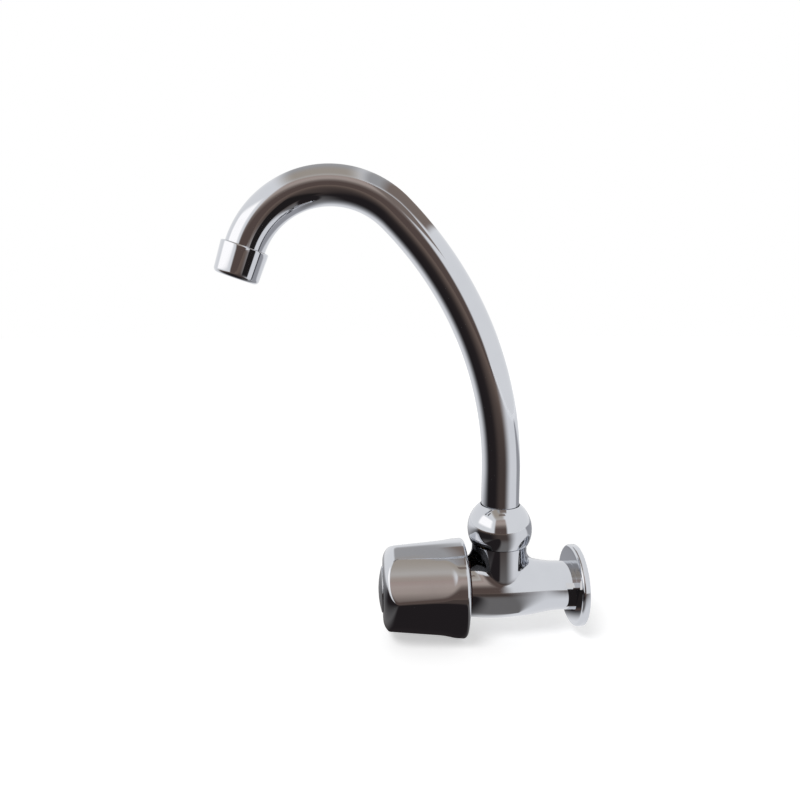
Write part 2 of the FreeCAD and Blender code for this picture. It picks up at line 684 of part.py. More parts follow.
def make_spout_tube():
    """Bends the spout's tube along a straight run, a long bend, a tight bend and an end."""
    body = new_body("spout_tube", "neck")
    spine = new_sketch(body, "spout_spine", "YZ_Plane")
    draw(spine, [
        ("0", "tube_foot"),
        ("0", "bend_start", "rise_radius", "left"),
        ("-rise_end_y", "rise_end_z", "crook_radius", "left"),
        ("-crook_end_y", "crook_end_z"),
        ("-outlet_y", "outlet_z"),
    ], closed=False)
    ring = new_sketch(body, "spout_ring", "XY_Plane", "tube_foot")
    draw_circle(ring, "tube_r")
    draw_circle(ring, "tube_r - tube_wall")
    doc.recompute()
    pipe = body.newObject("PartDesign::AdditivePipe", "spout_pipe")
    pipe.Profile = ring
    pipe.Spine = (spine, [])
    doc.recompute()
    return body


def make_outlet():
    """Makes the threaded ferrule on the tube's end and the aerator screwed to it."""
    turned("spout_ferrule", "outlet", rectangle(
        "tube_r + seat_gap", "ferrule_r", "-ferrule_length", "0"))
    turned("aerator_shell", "outlet", [
        ("shell_thread_r", "-shell_overlap"),
        ("shell_thread_r + seat_gap", "-shell_overlap"),
        ("shell_top_r", "shell_shoulder - shell_overlap"),
        ("shell_end_r", "shell_end - shell_edge", "shell_edge", "left"),
        ("shell_end_r - shell_edge", "shell_end"),
        ("shell_lip_bore / 2", "shell_end"),
        ("shell_lip_bore / 2", "lip_top"),
        ("shell_throat / 2", "lip_top"),
        ("shell_throat / 2", "shell_ledge"),
        ("shell_thread_r", "shell_ledge"),
    ])
    turned("aerator_gasket", "outlet", rectangle(
        "gasket_bore / 2", "shell_thread_r - seat_gap", "0", "insert_place"))
    insert = turned("aerator_insert", "outlet", [
        ("0", "insert_place"),
        ("shell_thread_r - seat_gap", "insert_place"),
        ("shell_thread_r - seat_gap", "shell_ledge"),
        ("shell_throat / 2 - seat_gap", "shell_ledge"),
        ("shell_throat / 2 - seat_gap", "insert_end"),
        ("0", "insert_end"),
    ])
    jet = pocket(insert, "insert_jet", [], "insert_place", "insert_flange + insert_depth",
                 [("insert_hole / 2", "insert_hole_ring / 2")])
    jets = insert.newObject("PartDesign::PolarPattern", "insert_jets")
    jets.Originals = [jet]
    jets.Axis = (jet.Profile[0], ["N_Axis"])
    jets.Angle = 360
    bind(jets, "Occurrences", "insert_holes")
    insert.Tip = jets
    doc.recompute()
    make_screens()


def make_screens():
    """Makes the two wire screens, each a disc with square openings."""
    pitch = value("screen_pitch")
    opening = value("screen_opening")
    radius = value("shell_throat / 2 - seat_gap")
    reach = radius - value("screen_rim")
    steps = int(reach / pitch) + 1
    wires = [Part.Wire(Part.makeCircle(radius))]
    for column in range(-steps, steps + 1):
        for line in range(-steps, steps + 1):
            x = column * pitch
            y = line * pitch
            if math.hypot(abs(x) + opening / 2, abs(y) + opening / 2) > reach:
                continue
            low = FreeCAD.Vector(x - opening / 2, y - opening / 2, 0)
            corners = [low + FreeCAD.Vector(*step) for step in (
                (0, 0, 0), (opening, 0, 0), (opening, opening, 0), (0, opening, 0), (0, 0, 0))]
            wires.append(Part.makePolygon(corners))
    face = Part.makeFace(wires, "Part::FaceMakerBullseye")
    disc = face.extrude(FreeCAD.Vector(0, 0, value("screen_thickness")))
    lower = disc.translated(FreeCAD.Vector(0, 0, value("lip_top - screen_thickness")))
    upper = disc.translated(FreeCAD.Vector(0, 0, value("insert_end")))
    screens = doc.addObject("Part::Feature", "aerator_screens")
    screens.Label = "aerator_screens"
    screens.Shape = Part.makeCompound([upper, lower])
    set_on_axis(screens, "outlet")
    nodes.append(screens)
    doc.recompute()


def make_valve():
    """Makes the piston that opens and shuts the seat, with its washer and screw."""
    piston = turned("valve_piston", "valve", rectangle(
        "washer_screw_dia / 2 + seat_gap", "piston_od / 2", "washer_back", "piston_front"))
    pad(piston, "piston_stem", [hexagon("piston_flats")], "piston_front", "piston_stem")
    turn_out(piston, "piston_bore", [
        ("0", "piston_front"),
        ("spindle_thread / 2 + thread_gap", "piston_front"),
        ("spindle_thread / 2 + thread_gap", "piston_end"),
        ("0", "piston_end"),
    ])
    turned("valve_washer", "valve", rectangle(
        "washer_screw_dia / 2 + seat_gap", "valve_washer_od / 2", "seat_face", "washer_back"))
    turned("washer_screw", "valve", [
        ("0", "seat_face - washer_screw_head_height"),
        ("washer_screw_head / 2", "seat_face - washer_screw_head_height"),
        ("washer_screw_head / 2", "seat_face"),
        ("washer_screw_dia / 2", "seat_face"),
        ("washer_screw_dia / 2", "washer_back + washer_screw_bite"),
        ("0", "washer_back + washer_screw_bite"),
    ])


def make_bonnet():
    """Makes the bonnet that screws into the barrel and guides piston and spindle."""
    bonnet = turned("bonnet", "valve", [
        ("0", "skirt_end"),
        ("skirt_r", "skirt_end"),
        ("skirt_r", "bonnet_back"),
        ("bonnet_thread_r", "bonnet_back"),
        ("bonnet_thread_r", "hex_back"),
        ("bonnet_boss_od / 2", "hex_back"),
        ("bonnet_boss_od / 2", "bonnet_front"),
        ("0", "bonnet_front"),
    ])
    pad(bonnet, "bonnet_hexagon", [hexagon("bonnet_flats")], "hex_back", "bonnet_hex")
    pocket(bonnet, "bonnet_guide", [hexagon("guide_flats")], "skirt_end", "collar_back - skirt_end")
    turn_out(bonnet, "bonnet_bore", [
        ("0", "collar_back"),
        ("collar_od / 2 + spindle_gap", "collar_back"),
        ("collar_od / 2 + spindle_gap", "thrust_face"),
        ("spindle_bore_r", "thrust_face"),
        ("spindle_bore_r", "bonnet_front"),
        ("0", "bonnet_front"),
    ])
    turned("bonnet_washer", "valve", rectangle(
        "chamber_dia / 2", "bonnet_washer_od / 2", "body_front", "hex_back"))


def make_spindle():
    """Makes the spindle, its sealing rings, its thrust washer and its clip."""
    rings = ["spindle_ring_one", "spindle_ring_two"]
    spindle = turned("spindle", "valve", [
        ("0", "skirt_end"),
        ("spindle_thread / 2", "skirt_end"),
        ("spindle_thread / 2", "collar_back"),
        ("collar_od / 2", "collar_back"),
        ("collar_od / 2", "collar_front"),
        ("spindle_r", "collar_front"),
        *grooved("spindle_r", "spindle_groove_r", "spindle_groove_half", rings),
        ("spindle_r", "clip_back - clip_slack / 2"),
        ("clip_groove_dia / 2", "clip_back - clip_slack / 2"),
        ("clip_groove_dia / 2", "clip_front + clip_slack / 2"),
        ("spindle_r", "clip_front + clip_slack / 2"),
        ("spindle_r", "drive_end"),
        ("0", "drive_end"),
    ])
    half = "drive_flats / 2"
    square = [(half, f"-{half}"), (half, half), (f"-{half}", half), (f"-{half}", f"-{half}")]
    pocket(spindle, "spindle_drive", [square], "drive_start", "drive_length", [("spindle_dia",)])
    turn_out(spindle, "spindle_tapping", [
        ("0", "web_front - knob_screw_length - knob_screw_room"),
        ("knob_screw_dia / 2 + thread_gap", "web_front - knob_screw_length - knob_screw_room"),
        ("knob_screw_dia / 2 + thread_gap", "drive_end"),
        ("0", "drive_end"),
    ])
    sealing_rings("spindle_o_rings", "valve", "spindle_ring_r", "spindle_ring_section", rings)
    turned("thrust_washer", "valve", rectangle(
        "spindle_bore_r", "collar_od / 2", "collar_front", "thrust_face"))
    turned("spindle_clip", "valve", rectangle(
        "clip_groove_dia / 2 + seat_gap", "clip_od / 2", "clip_back", "clip_front"), "clip_turn_angle")


def facet_square(corner):
    """Gives a square whose four sides bulge outwards."""
    return [
        (corner, f"-{corner}", "facet_bulge", "left"),
        (corner, corner, "facet_bulge", "left"),
        (f"-{corner}", corner, "facet_bulge", "left"),
        (f"-{corner}", f"-{corner}", "facet_bulge", "left"),
    ]


def make_knob():
    """Makes the faceted knob with its brass bush, its screw and its cap."""
    knob = new_body("knob_shell", "valve")
    sections = []
    for place, at in (("back", "knob_back"), ("run", "knob_back + facet_run"), ("front", "knob_front")):
        section = new_sketch(knob, f"facets_{place}", "XY_Plane", at, "knob_set_angle")
        draw(section, facet_square(f"{place}_corner"))
        sections.append(section)
    doc.recompute()
    facets = knob.newObject("PartDesign::AdditiveLoft", "knob_facets")
    facets.Profile = sections[0]
    facets.Sections = sections[1:]
    facets.Ruled = True
    doc.recompute()
    turn_out(knob, "knob_drum", [
        ("knob_back_od / 2 - knob_back_edge", "knob_back - knob_gap"),
        ("knob_back_od / 2 - knob_back_edge", "knob_back", "knob_back_edge", "left"),
        ("knob_back_od / 2", "knob_back + knob_back_edge"),
        ("knob_front_od / 2", "front_edge_place", "knob_front_edge", "left"),
        ("front_edge_r", "knob_front"),
        ("front_edge_r", "knob_front + knob_gap"),
        ("knob_back_od", "knob_front + knob_gap"),
        ("knob_back_od", "knob_back - knob_gap"),
    ])
    turn_out(knob, "knob_hollow", [
        ("0", "knob_back"),
        ("cavity_back_dia / 2", "knob_back"),
        ("cavity_front_dia / 2", "cavity_end"),
        ("hub_od / 2", "cavity_end"),
        ("hub_od / 2", "hub_back"),
        ("0", "hub_back"),
    ])
    pocket(knob, "bush_pocket", [hexagon("bush_pocket_flats")], "hub_back", "drive_end - hub_back")
    turn_out(knob, "cap_hole", [
        ("0", "drive_end"),
        ("knob_screw_dia / 2 + free_gap", "drive_end"),
        ("knob_screw_dia / 2 + free_gap", "web_front"),
        ("cap_recess / 2", "web_front"),
        ("cap_recess / 2", "knob_front"),
        ("0", "knob_front"),
    ])

    bush = new_body("knob_bush", "valve")
    half = "(drive_flats + drive_gap) / 2"
    square = [(half, f"-{half}"), (half, half), (f"-{half}", half), (f"-{half}", f"-{half}")]
    pad(bush, "bush_block", [hexagon("knob_bush_flats"), square], "drive_start", "drive_length")

    screw = turned("knob_screw", "valve", [
        ("0", "web_front - knob_screw_length"),
        ("knob_screw_dia / 2", "web_front - knob_screw_length"),
        ("knob_screw_dia / 2", "web_front"),
        ("knob_screw_head / 2", "web_front"),
        ("knob_screw_head / 2", "web_front + knob_screw_head_height"),
        ("0", "web_front + knob_screw_head_height"),
    ])
    reach = "knob_screw_head / 2 + knob_gap"
    wide = "knob_screw_slot / 2"
    slot = [(reach, f"-{wide}"), (reach, wide), (f"-({reach})", wide), (f"-({reach})", f"-{wide}")]
    pocket(screw, "screw_slot", [slot],
           "web_front + knob_screw_head_height - knob_screw_slot_depth", "knob_screw_slot_depth")

    turned("knob_cap", "valve", [
        ("cap_bore_r", "knob_front - cap_skirt"),
        ("cap_skirt_r", "knob_front - cap_skirt"),
        ("cap_skirt_r", "knob_front"),
        ("cap_od / 2", "knob_front"),
        ("cap_od / 2", "cap_edge_place", "cap_dome", "left"),
        ("0", "knob_front + cap_rise"),
        ("0", "knob_front + cap_rise - cap_wall"),
        ("cap_bore_r", "knob_front + cap_rise - cap_wall - cap_edge"),
    ])


make_body_casting()
make_wall_flange()
make_swivel()
make_spout_tube()
make_outlet()
make_valve()
make_bonnet()
make_spindle()
make_knob()
doc.recompute()

for item in doc.Objects:
    if "Invalid" in item.State or "Error" in item.State:
        raise ValueError(f"{item.Name} did not compute: {item.State}")

os.makedirs("parts", exist_ok=True)
for node in nodes:
    shape = node.Shape
    if shape.isNull() or not shape.isValid() or not shape.Solids:
        raise ValueError(f"{node.Label} has no sound solid")
    shape.exportStep(f"parts/{node.Label}.step")
    print(node.Label, len(shape.Solids), round(shape.Volume, 1))
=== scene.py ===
"""Looks of a wall-mounted kitchen tap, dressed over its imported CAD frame.

Sizes are millimetres in the classes of the pieces and the studio, and metres in the meshes, the cards
and the table. The wall is the plane y = 0, the tap comes out of it towards -Y, and +Z is up.
"""

import logging
import math
from dataclasses import dataclass
from enum import Enum
from typing import Callable

import bpy
from mathutils import Matrix, Vector


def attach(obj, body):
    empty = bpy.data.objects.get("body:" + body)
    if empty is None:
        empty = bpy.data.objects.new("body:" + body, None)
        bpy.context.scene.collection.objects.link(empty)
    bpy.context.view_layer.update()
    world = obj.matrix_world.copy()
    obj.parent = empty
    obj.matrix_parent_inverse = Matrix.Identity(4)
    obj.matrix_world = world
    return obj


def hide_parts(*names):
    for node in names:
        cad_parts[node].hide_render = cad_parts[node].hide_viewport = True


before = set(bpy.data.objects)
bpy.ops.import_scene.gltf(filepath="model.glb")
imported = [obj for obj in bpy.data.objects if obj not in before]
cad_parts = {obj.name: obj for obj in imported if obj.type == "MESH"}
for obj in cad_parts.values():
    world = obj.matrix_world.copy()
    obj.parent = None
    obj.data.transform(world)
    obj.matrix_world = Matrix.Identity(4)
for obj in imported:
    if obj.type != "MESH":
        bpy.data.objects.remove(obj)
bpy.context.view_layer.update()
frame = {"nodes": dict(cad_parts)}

MM = 0.001
WELD = 2e-6
ROUND_STEPS = 128
EDGE_ANGLE = 28.0
EDGE_SEGMENTS = 3
EDGE_SHADE_ANGLE = 38.0
SHADE_ANGLE = 40.0
Colour = tuple[float, float, float]
Limits = tuple[float, float]
Outline = list[tuple[float, float]]
Place = tuple[float, float, float]
WHITE: Colour = (1.0, 1.0, 1.0)
log = logging.getLogger("kitchen_tap")


class Slot(Enum):
    """Material slots of the record."""

    CHROME = "chrome"
    BRASS = "brass"
    STEEL = "steel"
    RUBBER = "rubber"
    FIBRE = "fibre"
    NYLON = "nylon"


class Body(Enum):
    """Bodies of the record that new pieces ride on."""

    TAP = "tap"
    SPOUT = "spout"
    KNOB = "knob"


@dataclass(frozen=True)
class Axis:
    """A line that pieces are turned about: its start, its direction and a direction across it."""

    origin: Vector
    along: Vector
    out: Vector

    def point(self, radius: float, distance: float) -> Vector:
        """Gives the point at a radius and a distance along the line.

        Args:
            radius: Millimetres away from the line.
            distance: Millimetres along the line.

        Returns:
            The point in metres.
        """
        return self.origin + (self.along * distance + self.out * radius) * MM


VALVE_AXIS = Axis(Vector((0, 0, 0)), Vector((0, -1, 0)), Vector((0, 0, -1)))


def clear_selection() -> None:
    """Deselects every object, so that an operator acts on one piece alone."""
    bpy.ops.object.select_all(action="DESELECT")


def pick(piece: bpy.types.Object) -> None:
    """Makes one piece the selected and active one.

    Args:
        piece: The object to work on.
    """
    clear_selection()
    piece.select_set(True)
    bpy.context.view_layer.objects.active = piece


def plane(name: str, size: float) -> bpy.types.Object:
    """Adds a square plane at the origin.

    Args:
        name: The plane's name.
        size: Its side in metres.

    Returns:
        The plane.
    """
    clear_selection()
    bpy.ops.mesh.primitive_plane_add(size=size, location=(0, 0, 0))
    made = bpy.context.object
    made.name = name
    return made


def weld() -> None:
    """Merges doubles of the piece in edit mode and turns its faces outwards."""
    bpy.ops.mesh.select_all(action="SELECT")
    bpy.ops.mesh.remove_doubles(threshold=WELD)
    bpy.ops.mesh.normals_make_consistent(inside=False)


def modify(piece: bpy.types.Object, kind: str, **settings: object) -> None:
    """Adds a modifier to a piece and applies it.

    Args:
        piece: The object to change.
        kind: Blender's name for the modifier.
        **settings: Values of the modifier.
    """
    pick(piece)
    modifier = piece.modifiers.new(kind.lower(), kind)
    for name, setting in settings.items():
        setattr(modifier, name, setting)
    bpy.ops.object.modifier_apply(modifier=modifier.name)


def shade(piece: bpy.types.Object, angle: float) -> None:
    """Shades a piece smooth, apart from its sharp edges.

    Args:
        piece: The object to shade.
        angle: Edges sharper than this many degrees stay sharp.
    """
    pick(piece)
    bpy.ops.object.shade_smooth_by_angle(angle=math.radians(angle))


def soften(piece: bpy.types.Object, width: float) -> None:
    """Rounds the sharp edges of a piece and shades it smooth.

    Args:
        piece: The object to round.
        width: Width of the rounding in millimetres.
    """
    modify(piece, "BEVEL", width=width * MM, segments=EDGE_SEGMENTS, limit_method="ANGLE",
           angle_limit=math.radians(EDGE_ANGLE), use_clamp_overlap=True)
    bpy.ops.object.mode_set(mode="EDIT")
    weld()
    bpy.ops.object.mode_set(mode="OBJECT")
    shade(piece, EDGE_SHADE_ANGLE)


def arc(centre: tuple[float, float], radius: float, first: float, last: float, steps: int) -> Outline:
    """Gives points on an arc of an outline.

    Args:
        centre: The arc's centre as radius and distance.
        radius: The arc's radius.
        first: Where it starts, in degrees from straight out, turning along the axis.
        last: Where it ends.
        steps: How many runs it has.

    Returns:
        The points, from the first to the last.
    """
    angles = [math.radians(first + (last - first) * step / steps) for step in range(steps + 1)]
    return [(centre[0] + radius * math.cos(a), centre[1] + radius * math.sin(a)) for a in angles]


def line(first: tuple[float, float], last: tuple[float, float], steps: int) -> Outline:
    """Gives points on a straight run of an outline.

    Args:
        first: Where it starts, as radius and distance.
        last: Where it ends.
        steps: How many runs it has.

    Returns:
        The points, from the first to the last.
    """
    shares = [step / steps for step in range(steps + 1)]
    return [(first[0] + (last[0] - first[0]) * s, first[1] + (last[1] - first[1]) * s) for s in shares]


def soft_least(first: float, second: float, blend: float) -> float:
    """Gives the lesser of two lengths, rounded where they are nearly equal.

    Args:
        first: One length.
        second: The other length.
        blend: The difference under which they run into each other.

    Returns:
        The lesser length, or a little under it.
    """
    near = max(blend - abs(first - second), 0.0) / blend
    return min(first, second) - near * near * blend / 4


def turned(name: str, axis: Axis, outline: Outline, steps: int = ROUND_STEPS) -> bpy.types.Object:
    """Turns a closed outline about an axis, from one vertex that is drawn out and spun.

    Args:
        name: The piece's name.
        axis: The line to turn about.
        outline: Corners as radius and distance, closed back to the first one.
        steps: How many runs go round.

    Returns:
        The new piece.
    """
    piece = plane(name, MM)
    bpy.ops.object.mode_set(mode="EDIT")
    bpy.ops.mesh.select_all(action="SELECT")
    bpy.ops.mesh.merge(type="CENTER")
    corners = [axis.point(*corner) for corner in outline]
    bpy.ops.transform.translate(value=corners[0])
    for here, there in zip(corners, corners[1:] + corners[:1]):
        if (there - here).length > WELD:
            bpy.ops.mesh.extrude_vertices_move(TRANSFORM_OT_translate={"value": there - here})
    bpy.ops.mesh.select_all(action="SELECT")
    bpy.ops.mesh.remove_doubles(threshold=WELD)
    bpy.ops.mesh.spin(steps=steps, angle=math.tau, center=axis.origin, axis=axis.along)
    weld()
    bpy.ops.object.mode_set(mode="OBJECT")
    return piece


def dress(piece: bpy.types.Object, body: Body, finish: "Finish", *nodes: str) -> None:
    """Gives a new piece its body and its finish, and hides the CAD nodes that it stands for.

    Args:
        piece: The new piece.
        body: The body that it rides on.
        finish: Its finish.
        *nodes: The CAD nodes that it replaces.
    """
    piece.data.materials.clear()
    piece.data.materials.append(finish.material())
    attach(piece, body.value)
    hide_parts(*nodes)
    log.info("%s: %d faces, rides on %s", piece.name, len(piece.data.polygons), body.value)


class Graph:
    """A short way to add and join shader nodes in one node tree."""

    def __init__(self, tree: bpy.types.NodeTree) -> None:
        """Takes the tree to work in.

        Args:
            tree: A material's, world's or group's node tree.
        """
        self.tree = tree

    def add(self, kind: str, **values: object) -> bpy.types.Node:
        """Adds a node and sets its options and inputs.

        Args:
            kind: Blender's name for the node, without its prefix.
            **values: Options of the node, or inputs with spaces written as underscores. A value
                that is an output socket is joined to that input.

        Returns:
            The new node.
        """
        node = self.tree.nodes.new("ShaderNode" + kind)
        for name, value in values.items():
            if hasattr(node, name) and not isinstance(value, bpy.types.NodeSocket):
                setattr(node, name, value)
                continue
            self.put(node.inputs[name.replace("_", " ")], value)
        return node

    def put(self, socket: bpy.types.NodeSocket, value: object) -> None:
        """Sets an input to a value, or joins it to an output socket.

        Args:
            socket: The input.
            value: A number, a colour or an output socket.
        """
        if isinstance(value, bpy.types.NodeSocket):
            self.tree.links.new(value, socket)
        elif isinstance(value, tuple) and len(value) == 3 and socket.type == "RGBA":
            socket.default_value = (*value, 1.0)
        else:
            socket.default_value = value

    def maths(self, operation: str, first: object, second: object = 0.0) -> bpy.types.NodeSocket:
        """Adds a Math node.

        Args:
            operation: What it does.
            first: Its first value or socket.
            second: Its second value or socket.

        Returns:
            Its output.
        """
        node = self.tree.nodes.new("ShaderNodeMath")
        node.operation = operation
        self.put(node.inputs[0], first)
        self.put(node.inputs[1], second)
        return node.outputs[0]

    def spread(self, value: bpy.types.NodeSocket, low: float, high: float) -> bpy.types.NodeSocket:
        """Spreads a mask from 0 to 1 over another range.

        Args:
            value: The mask.
            low: What 0 becomes.
            high: What 1 becomes.

        Returns:
            The spread value.
        """
        return self.add("MapRange", Value=value, To_Min=low, To_Max=high).outputs["Result"]

    def ease(self, value: bpy.types.NodeSocket, low: float, high: float,
             kind: str = "SMOOTHSTEP") -> bpy.types.NodeSocket:
        """Turns a value into a mask that runs from 0 to 1 between two limits.

        Args:
            value: The value.
            low: Where the mask is 0.
            high: Where the mask is 1.
            kind: How it runs between them.

        Returns:
            The mask.
        """
        node = self.add("MapRange", interpolation_type=kind, Value=value, From_Min=low, From_Max=high)
        return node.outputs["Result"]

    def mix(self, mask: bpy.types.NodeSocket, first: object, second: object) -> bpy.types.NodeSocket:
        """Mixes two colours by a mask.

        Args:
            mask: 0 for the first colour, 1 for the second.
            first: The first colour or its socket.
            second: The second colour or its socket.

        Returns:
            The mixed colour.
        """
        node = self.tree.nodes.new("ShaderNodeMix")
        node.data_type = "RGBA"
        self.put(node.inputs[0], mask)
        # The node's inputs 6 and 7 and its output 2 are the ones for colours.
        self.put(node.inputs[6], first)
        self.put(node.inputs[7], second)
        return node.outputs[2]


Paint = Callable[[Graph], tuple[bpy.types.NodeSocket, bpy.types.NodeSocket]]


def blank_material(name: str) -> tuple[bpy.types.Material, Graph]:
    """Makes a material with nothing in it.

    Args:
        name: The material's name.

    Returns:
        The material and its empty graph.
    """
    made = bpy.data.materials.new(name)
    made.use_nodes = True
    made.node_tree.nodes.clear()
    return made, Graph(made.node_tree)


class Effect(Enum):
    """Shader groups that several finishes share."""

    HANDLING = "handling_marks"
    POLISH = "polish_waves"
    TURNING = "turning_marks"
    GRAIN = "fine_grain"


class Effects:
    """Builds each shared shader group once and places it in finishes.

    A group has one input, its pattern's size as repeats to the metre, and one output.
    """

    CLOUD_DETAIL = 4.0
    CLOUD_ROUGHNESS = 0.55
    CLOUD_LIMITS = (0.48, 0.72)
    DROP_FINENESS = 4.0
    DROP_LIMITS = (0.16, 0.05)
    DROP_SHARE = 0.5
    LONG_WAVE_DETAIL = 1.0
    SHORT_WAVE_DETAIL = 2.0
    SHORT_WAVE_FINENESS = 9.0
    SHORT_WAVE_SHARE = 0.15
    GROOVE_WAVER = 0.6
    GROOVE_DETAIL = 2.0
    GRAIN_DETAIL = 3.0

    @classmethod
    def place(cls, graph: Graph, effect: Effect, size: float) -> bpy.types.NodeSocket:
        """Places a group in a finish.

        Args:
            graph: The finish's graph.
            effect: Which group.
            size: The pattern's size, as repeats to the metre.

        Returns:
            The group's mask or height.
        """
        group = bpy.data.node_groups.get(effect.value)
        if group is None:
            group = getattr(cls, effect.value)(effect.value)
        node = graph.tree.nodes.new("ShaderNodeGroup")
        node.node_tree = group
        node.inputs["Size"].default_value = size
        return node.outputs[0]

    @staticmethod
    def start(name: str) -> tuple[Graph, bpy.types.NodeSocket, bpy.types.NodeSocket, bpy.types.NodeSocket]:
        """Starts a group with its input and its output.

        Args:
            name: The group's name.

        Returns:
            The group's graph, the place on the piece, the pattern's size and the output to fill.
        """
        tree = bpy.data.node_groups.new(name, "ShaderNodeTree")
        tree.interface.new_socket("Size", in_out="INPUT", socket_type="NodeSocketFloat")
        tree.interface.new_socket("Pattern", in_out="OUTPUT", socket_type="NodeSocketFloat")
        graph = Graph(tree)
        size = tree.nodes.new("NodeGroupInput").outputs["Size"]
        pattern = tree.nodes.new("NodeGroupOutput").inputs["Pattern"]
        return graph, graph.add("TexCoord").outputs["Object"], size, pattern

    @classmethod
    def handling_marks(cls, name: str) -> bpy.types.NodeTree:
        """Builds the mask of dried drops and of wide marks from hands and cloths.

        Args:
            name: The group's name.

        Returns:
            The group.
        """
        graph, place, size, pattern = cls.start(name)
        cloud = graph.add("TexNoise", Vector=place, Scale=size, Detail=cls.CLOUD_DETAIL,
                          Roughness=cls.CLOUD_ROUGHNESS)
        wide = graph.ease(cloud.outputs["Fac"], *cls.CLOUD_LIMITS, "LINEAR")
        scale = graph.maths("MULTIPLY", size, cls.DROP_FINENESS)
        drops = graph.add("TexVoronoi", Vector=place, Scale=scale)
        spots = graph.ease(drops.outputs["Distance"], *cls.DROP_LIMITS, "LINEAR")
        faint = graph.maths("MULTIPLY", spots, cls.DROP_SHARE)
        graph.put(pattern, graph.maths("MAXIMUM", wide, faint))
        return graph.tree

    @classmethod
    def polish_waves(cls, name: str) -> bpy.types.NodeTree:
        """Builds the long low waves that a buffing wheel leaves under plating.

        Args:
            name: The group's name.

        Returns:
            The group.
        """
        graph, place, size, pattern = cls.start(name)
        long_wave = graph.add("TexNoise", Vector=place, Scale=size, Detail=cls.LONG_WAVE_DETAIL)
        scale = graph.maths("MULTIPLY", size, cls.SHORT_WAVE_FINENESS)
        short_wave = graph.add("TexNoise", Vector=place, Scale=scale, Detail=cls.SHORT_WAVE_DETAIL)
        small = graph.maths("MULTIPLY", short_wave.outputs["Fac"], cls.SHORT_WAVE_SHARE)
        graph.put(pattern, graph.maths("ADD", long_wave.outputs["Fac"], small))
        return graph.tree

    @classmethod
    def turning_marks(cls, name: str) -> bpy.types.NodeTree:
        """Builds the fine grooves that a lathe tool leaves, as bands across the piece.

        Args:
            name: The group's name.

        Returns:
            The group.
        """
        graph, place, size, pattern = cls.start(name)
        wave = graph.add("TexWave", Vector=place, Scale=size, bands_direction="Y",
                         Distortion=cls.GROOVE_WAVER, Detail=cls.GROOVE_DETAIL)
        graph.put(pattern, wave.outputs["Fac"])
        return graph.tree

    @classmethod
    def fine_grain(cls, name: str) -> bpy.types.NodeTree:
        """Builds the even grain of a moulded, pressed or unpolished surface.

        Args:
            name: The group's name.

        Returns:
            The group.
        """
        graph, place, size, pattern = cls.start(name)
        noise = graph.add("TexNoise", Vector=place, Scale=size, Detail=cls.GRAIN_DETAIL)
        graph.put(pattern, noise.outputs["Fac"])
        return graph.tree


@dataclass(frozen=True)
class Finish:
    """A finish with two tones, a range of roughness and a height pattern under its surface.

    A mask of handling marks runs from the tone and the smooth value to the worn and the rough one.
    """

    slot: Slot
    tone: Colour
    worn: Colour
    smooth: float
    rough: float
    metallic: float
    height: Effect
    height_size: float
    height_depth: float
    strength: float = 1.0
    marks_size: float = 70.0
    note: str = ""

    def material(self) -> bpy.types.Material:
        """Gives the finish's material, built the first time it is asked for.

        Returns:
            The material.
        """
        name = "finish_" + self.slot.value + self.note
        found = bpy.data.materials.get(name)
        if found is not None:
            return found
        made, graph = blank_material(name)
        mask = Effects.place(graph, Effect.HANDLING, self.marks_size)
        height = Effects.place(graph, self.height, self.height_size)
        bump = graph.add("Bump", Strength=self.strength, Distance=self.height_depth * MM, Height=height)
        shader = graph.add(
            "BsdfPrincipled", Metallic=self.metallic, Normal=bump.outputs["Normal"],
            Base_Color=graph.mix(mask, self.tone, self.worn),
            Roughness=graph.spread(mask, self.smooth, self.rough))
        graph.add("OutputMaterial", Surface=shader.outputs["BSDF"])
        return made


CHROME = Finish(
    Slot.CHROME, tone=(0.605, 0.622, 0.66), worn=(0.59, 0.607, 0.645), smooth=0.045, rough=0.085,
    metallic=1.0, height=Effect.POLISH, height_size=45.0, height_depth=0.02, strength=0.25)
UNPOLISHED = Finish(
    Slot.CHROME, tone=(0.07, 0.07, 0.074), worn=(0.05, 0.05, 0.052), smooth=0.42, rough=0.6,
    metallic=0.8, height=Effect.GRAIN, height_size=700.0, height_depth=0.06, note="_unpolished")
BRASS = Finish(
    Slot.BRASS, tone=(0.80, 0.60, 0.30), worn=(0.62, 0.43, 0.20), smooth=0.22, rough=0.42,
    metallic=1.0, height=Effect.TURNING, height_size=900.0, height_depth=0.02)
STEEL = Finish(
    Slot.STEEL, tone=(0.58, 0.57, 0.55), worn=(0.47, 0.46, 0.45), smooth=0.2, rough=0.4,
    metallic=1.0, height=Effect.GRAIN, height_size=900.0, height_depth=0.02)
RUBBER = Finish(
    Slot.RUBBER, tone=(0.022, 0.022, 0.023), worn=(0.045, 0.044, 0.043), smooth=0.5, rough=0.75,
    metallic=0.0, height=Effect.GRAIN, height_size=1800.0, height_depth=0.03)
FIBRE = Finish(
    Slot.FIBRE, tone=(0.20, 0.055, 0.04), worn=(0.14, 0.04, 0.03), smooth=0.6, rough=0.85,
    metallic=0.0, height=Effect.GRAIN, height_size=1200.0, height_depth=0.05)
NYLON = Finish(
    Slot.NYLON, tone=(0.80, 0.78, 0.72), worn=(0.70, 0.67, 0.60), smooth=0.35, rough=0.55,
    metallic=0.0, height=Effect.GRAIN, height_size=2200.0, height_depth=0.02)
FINISHES = {finish.slot.value: finish for finish in (CHROME, BRASS, STEEL, RUBBER, FIBRE, NYLON)}


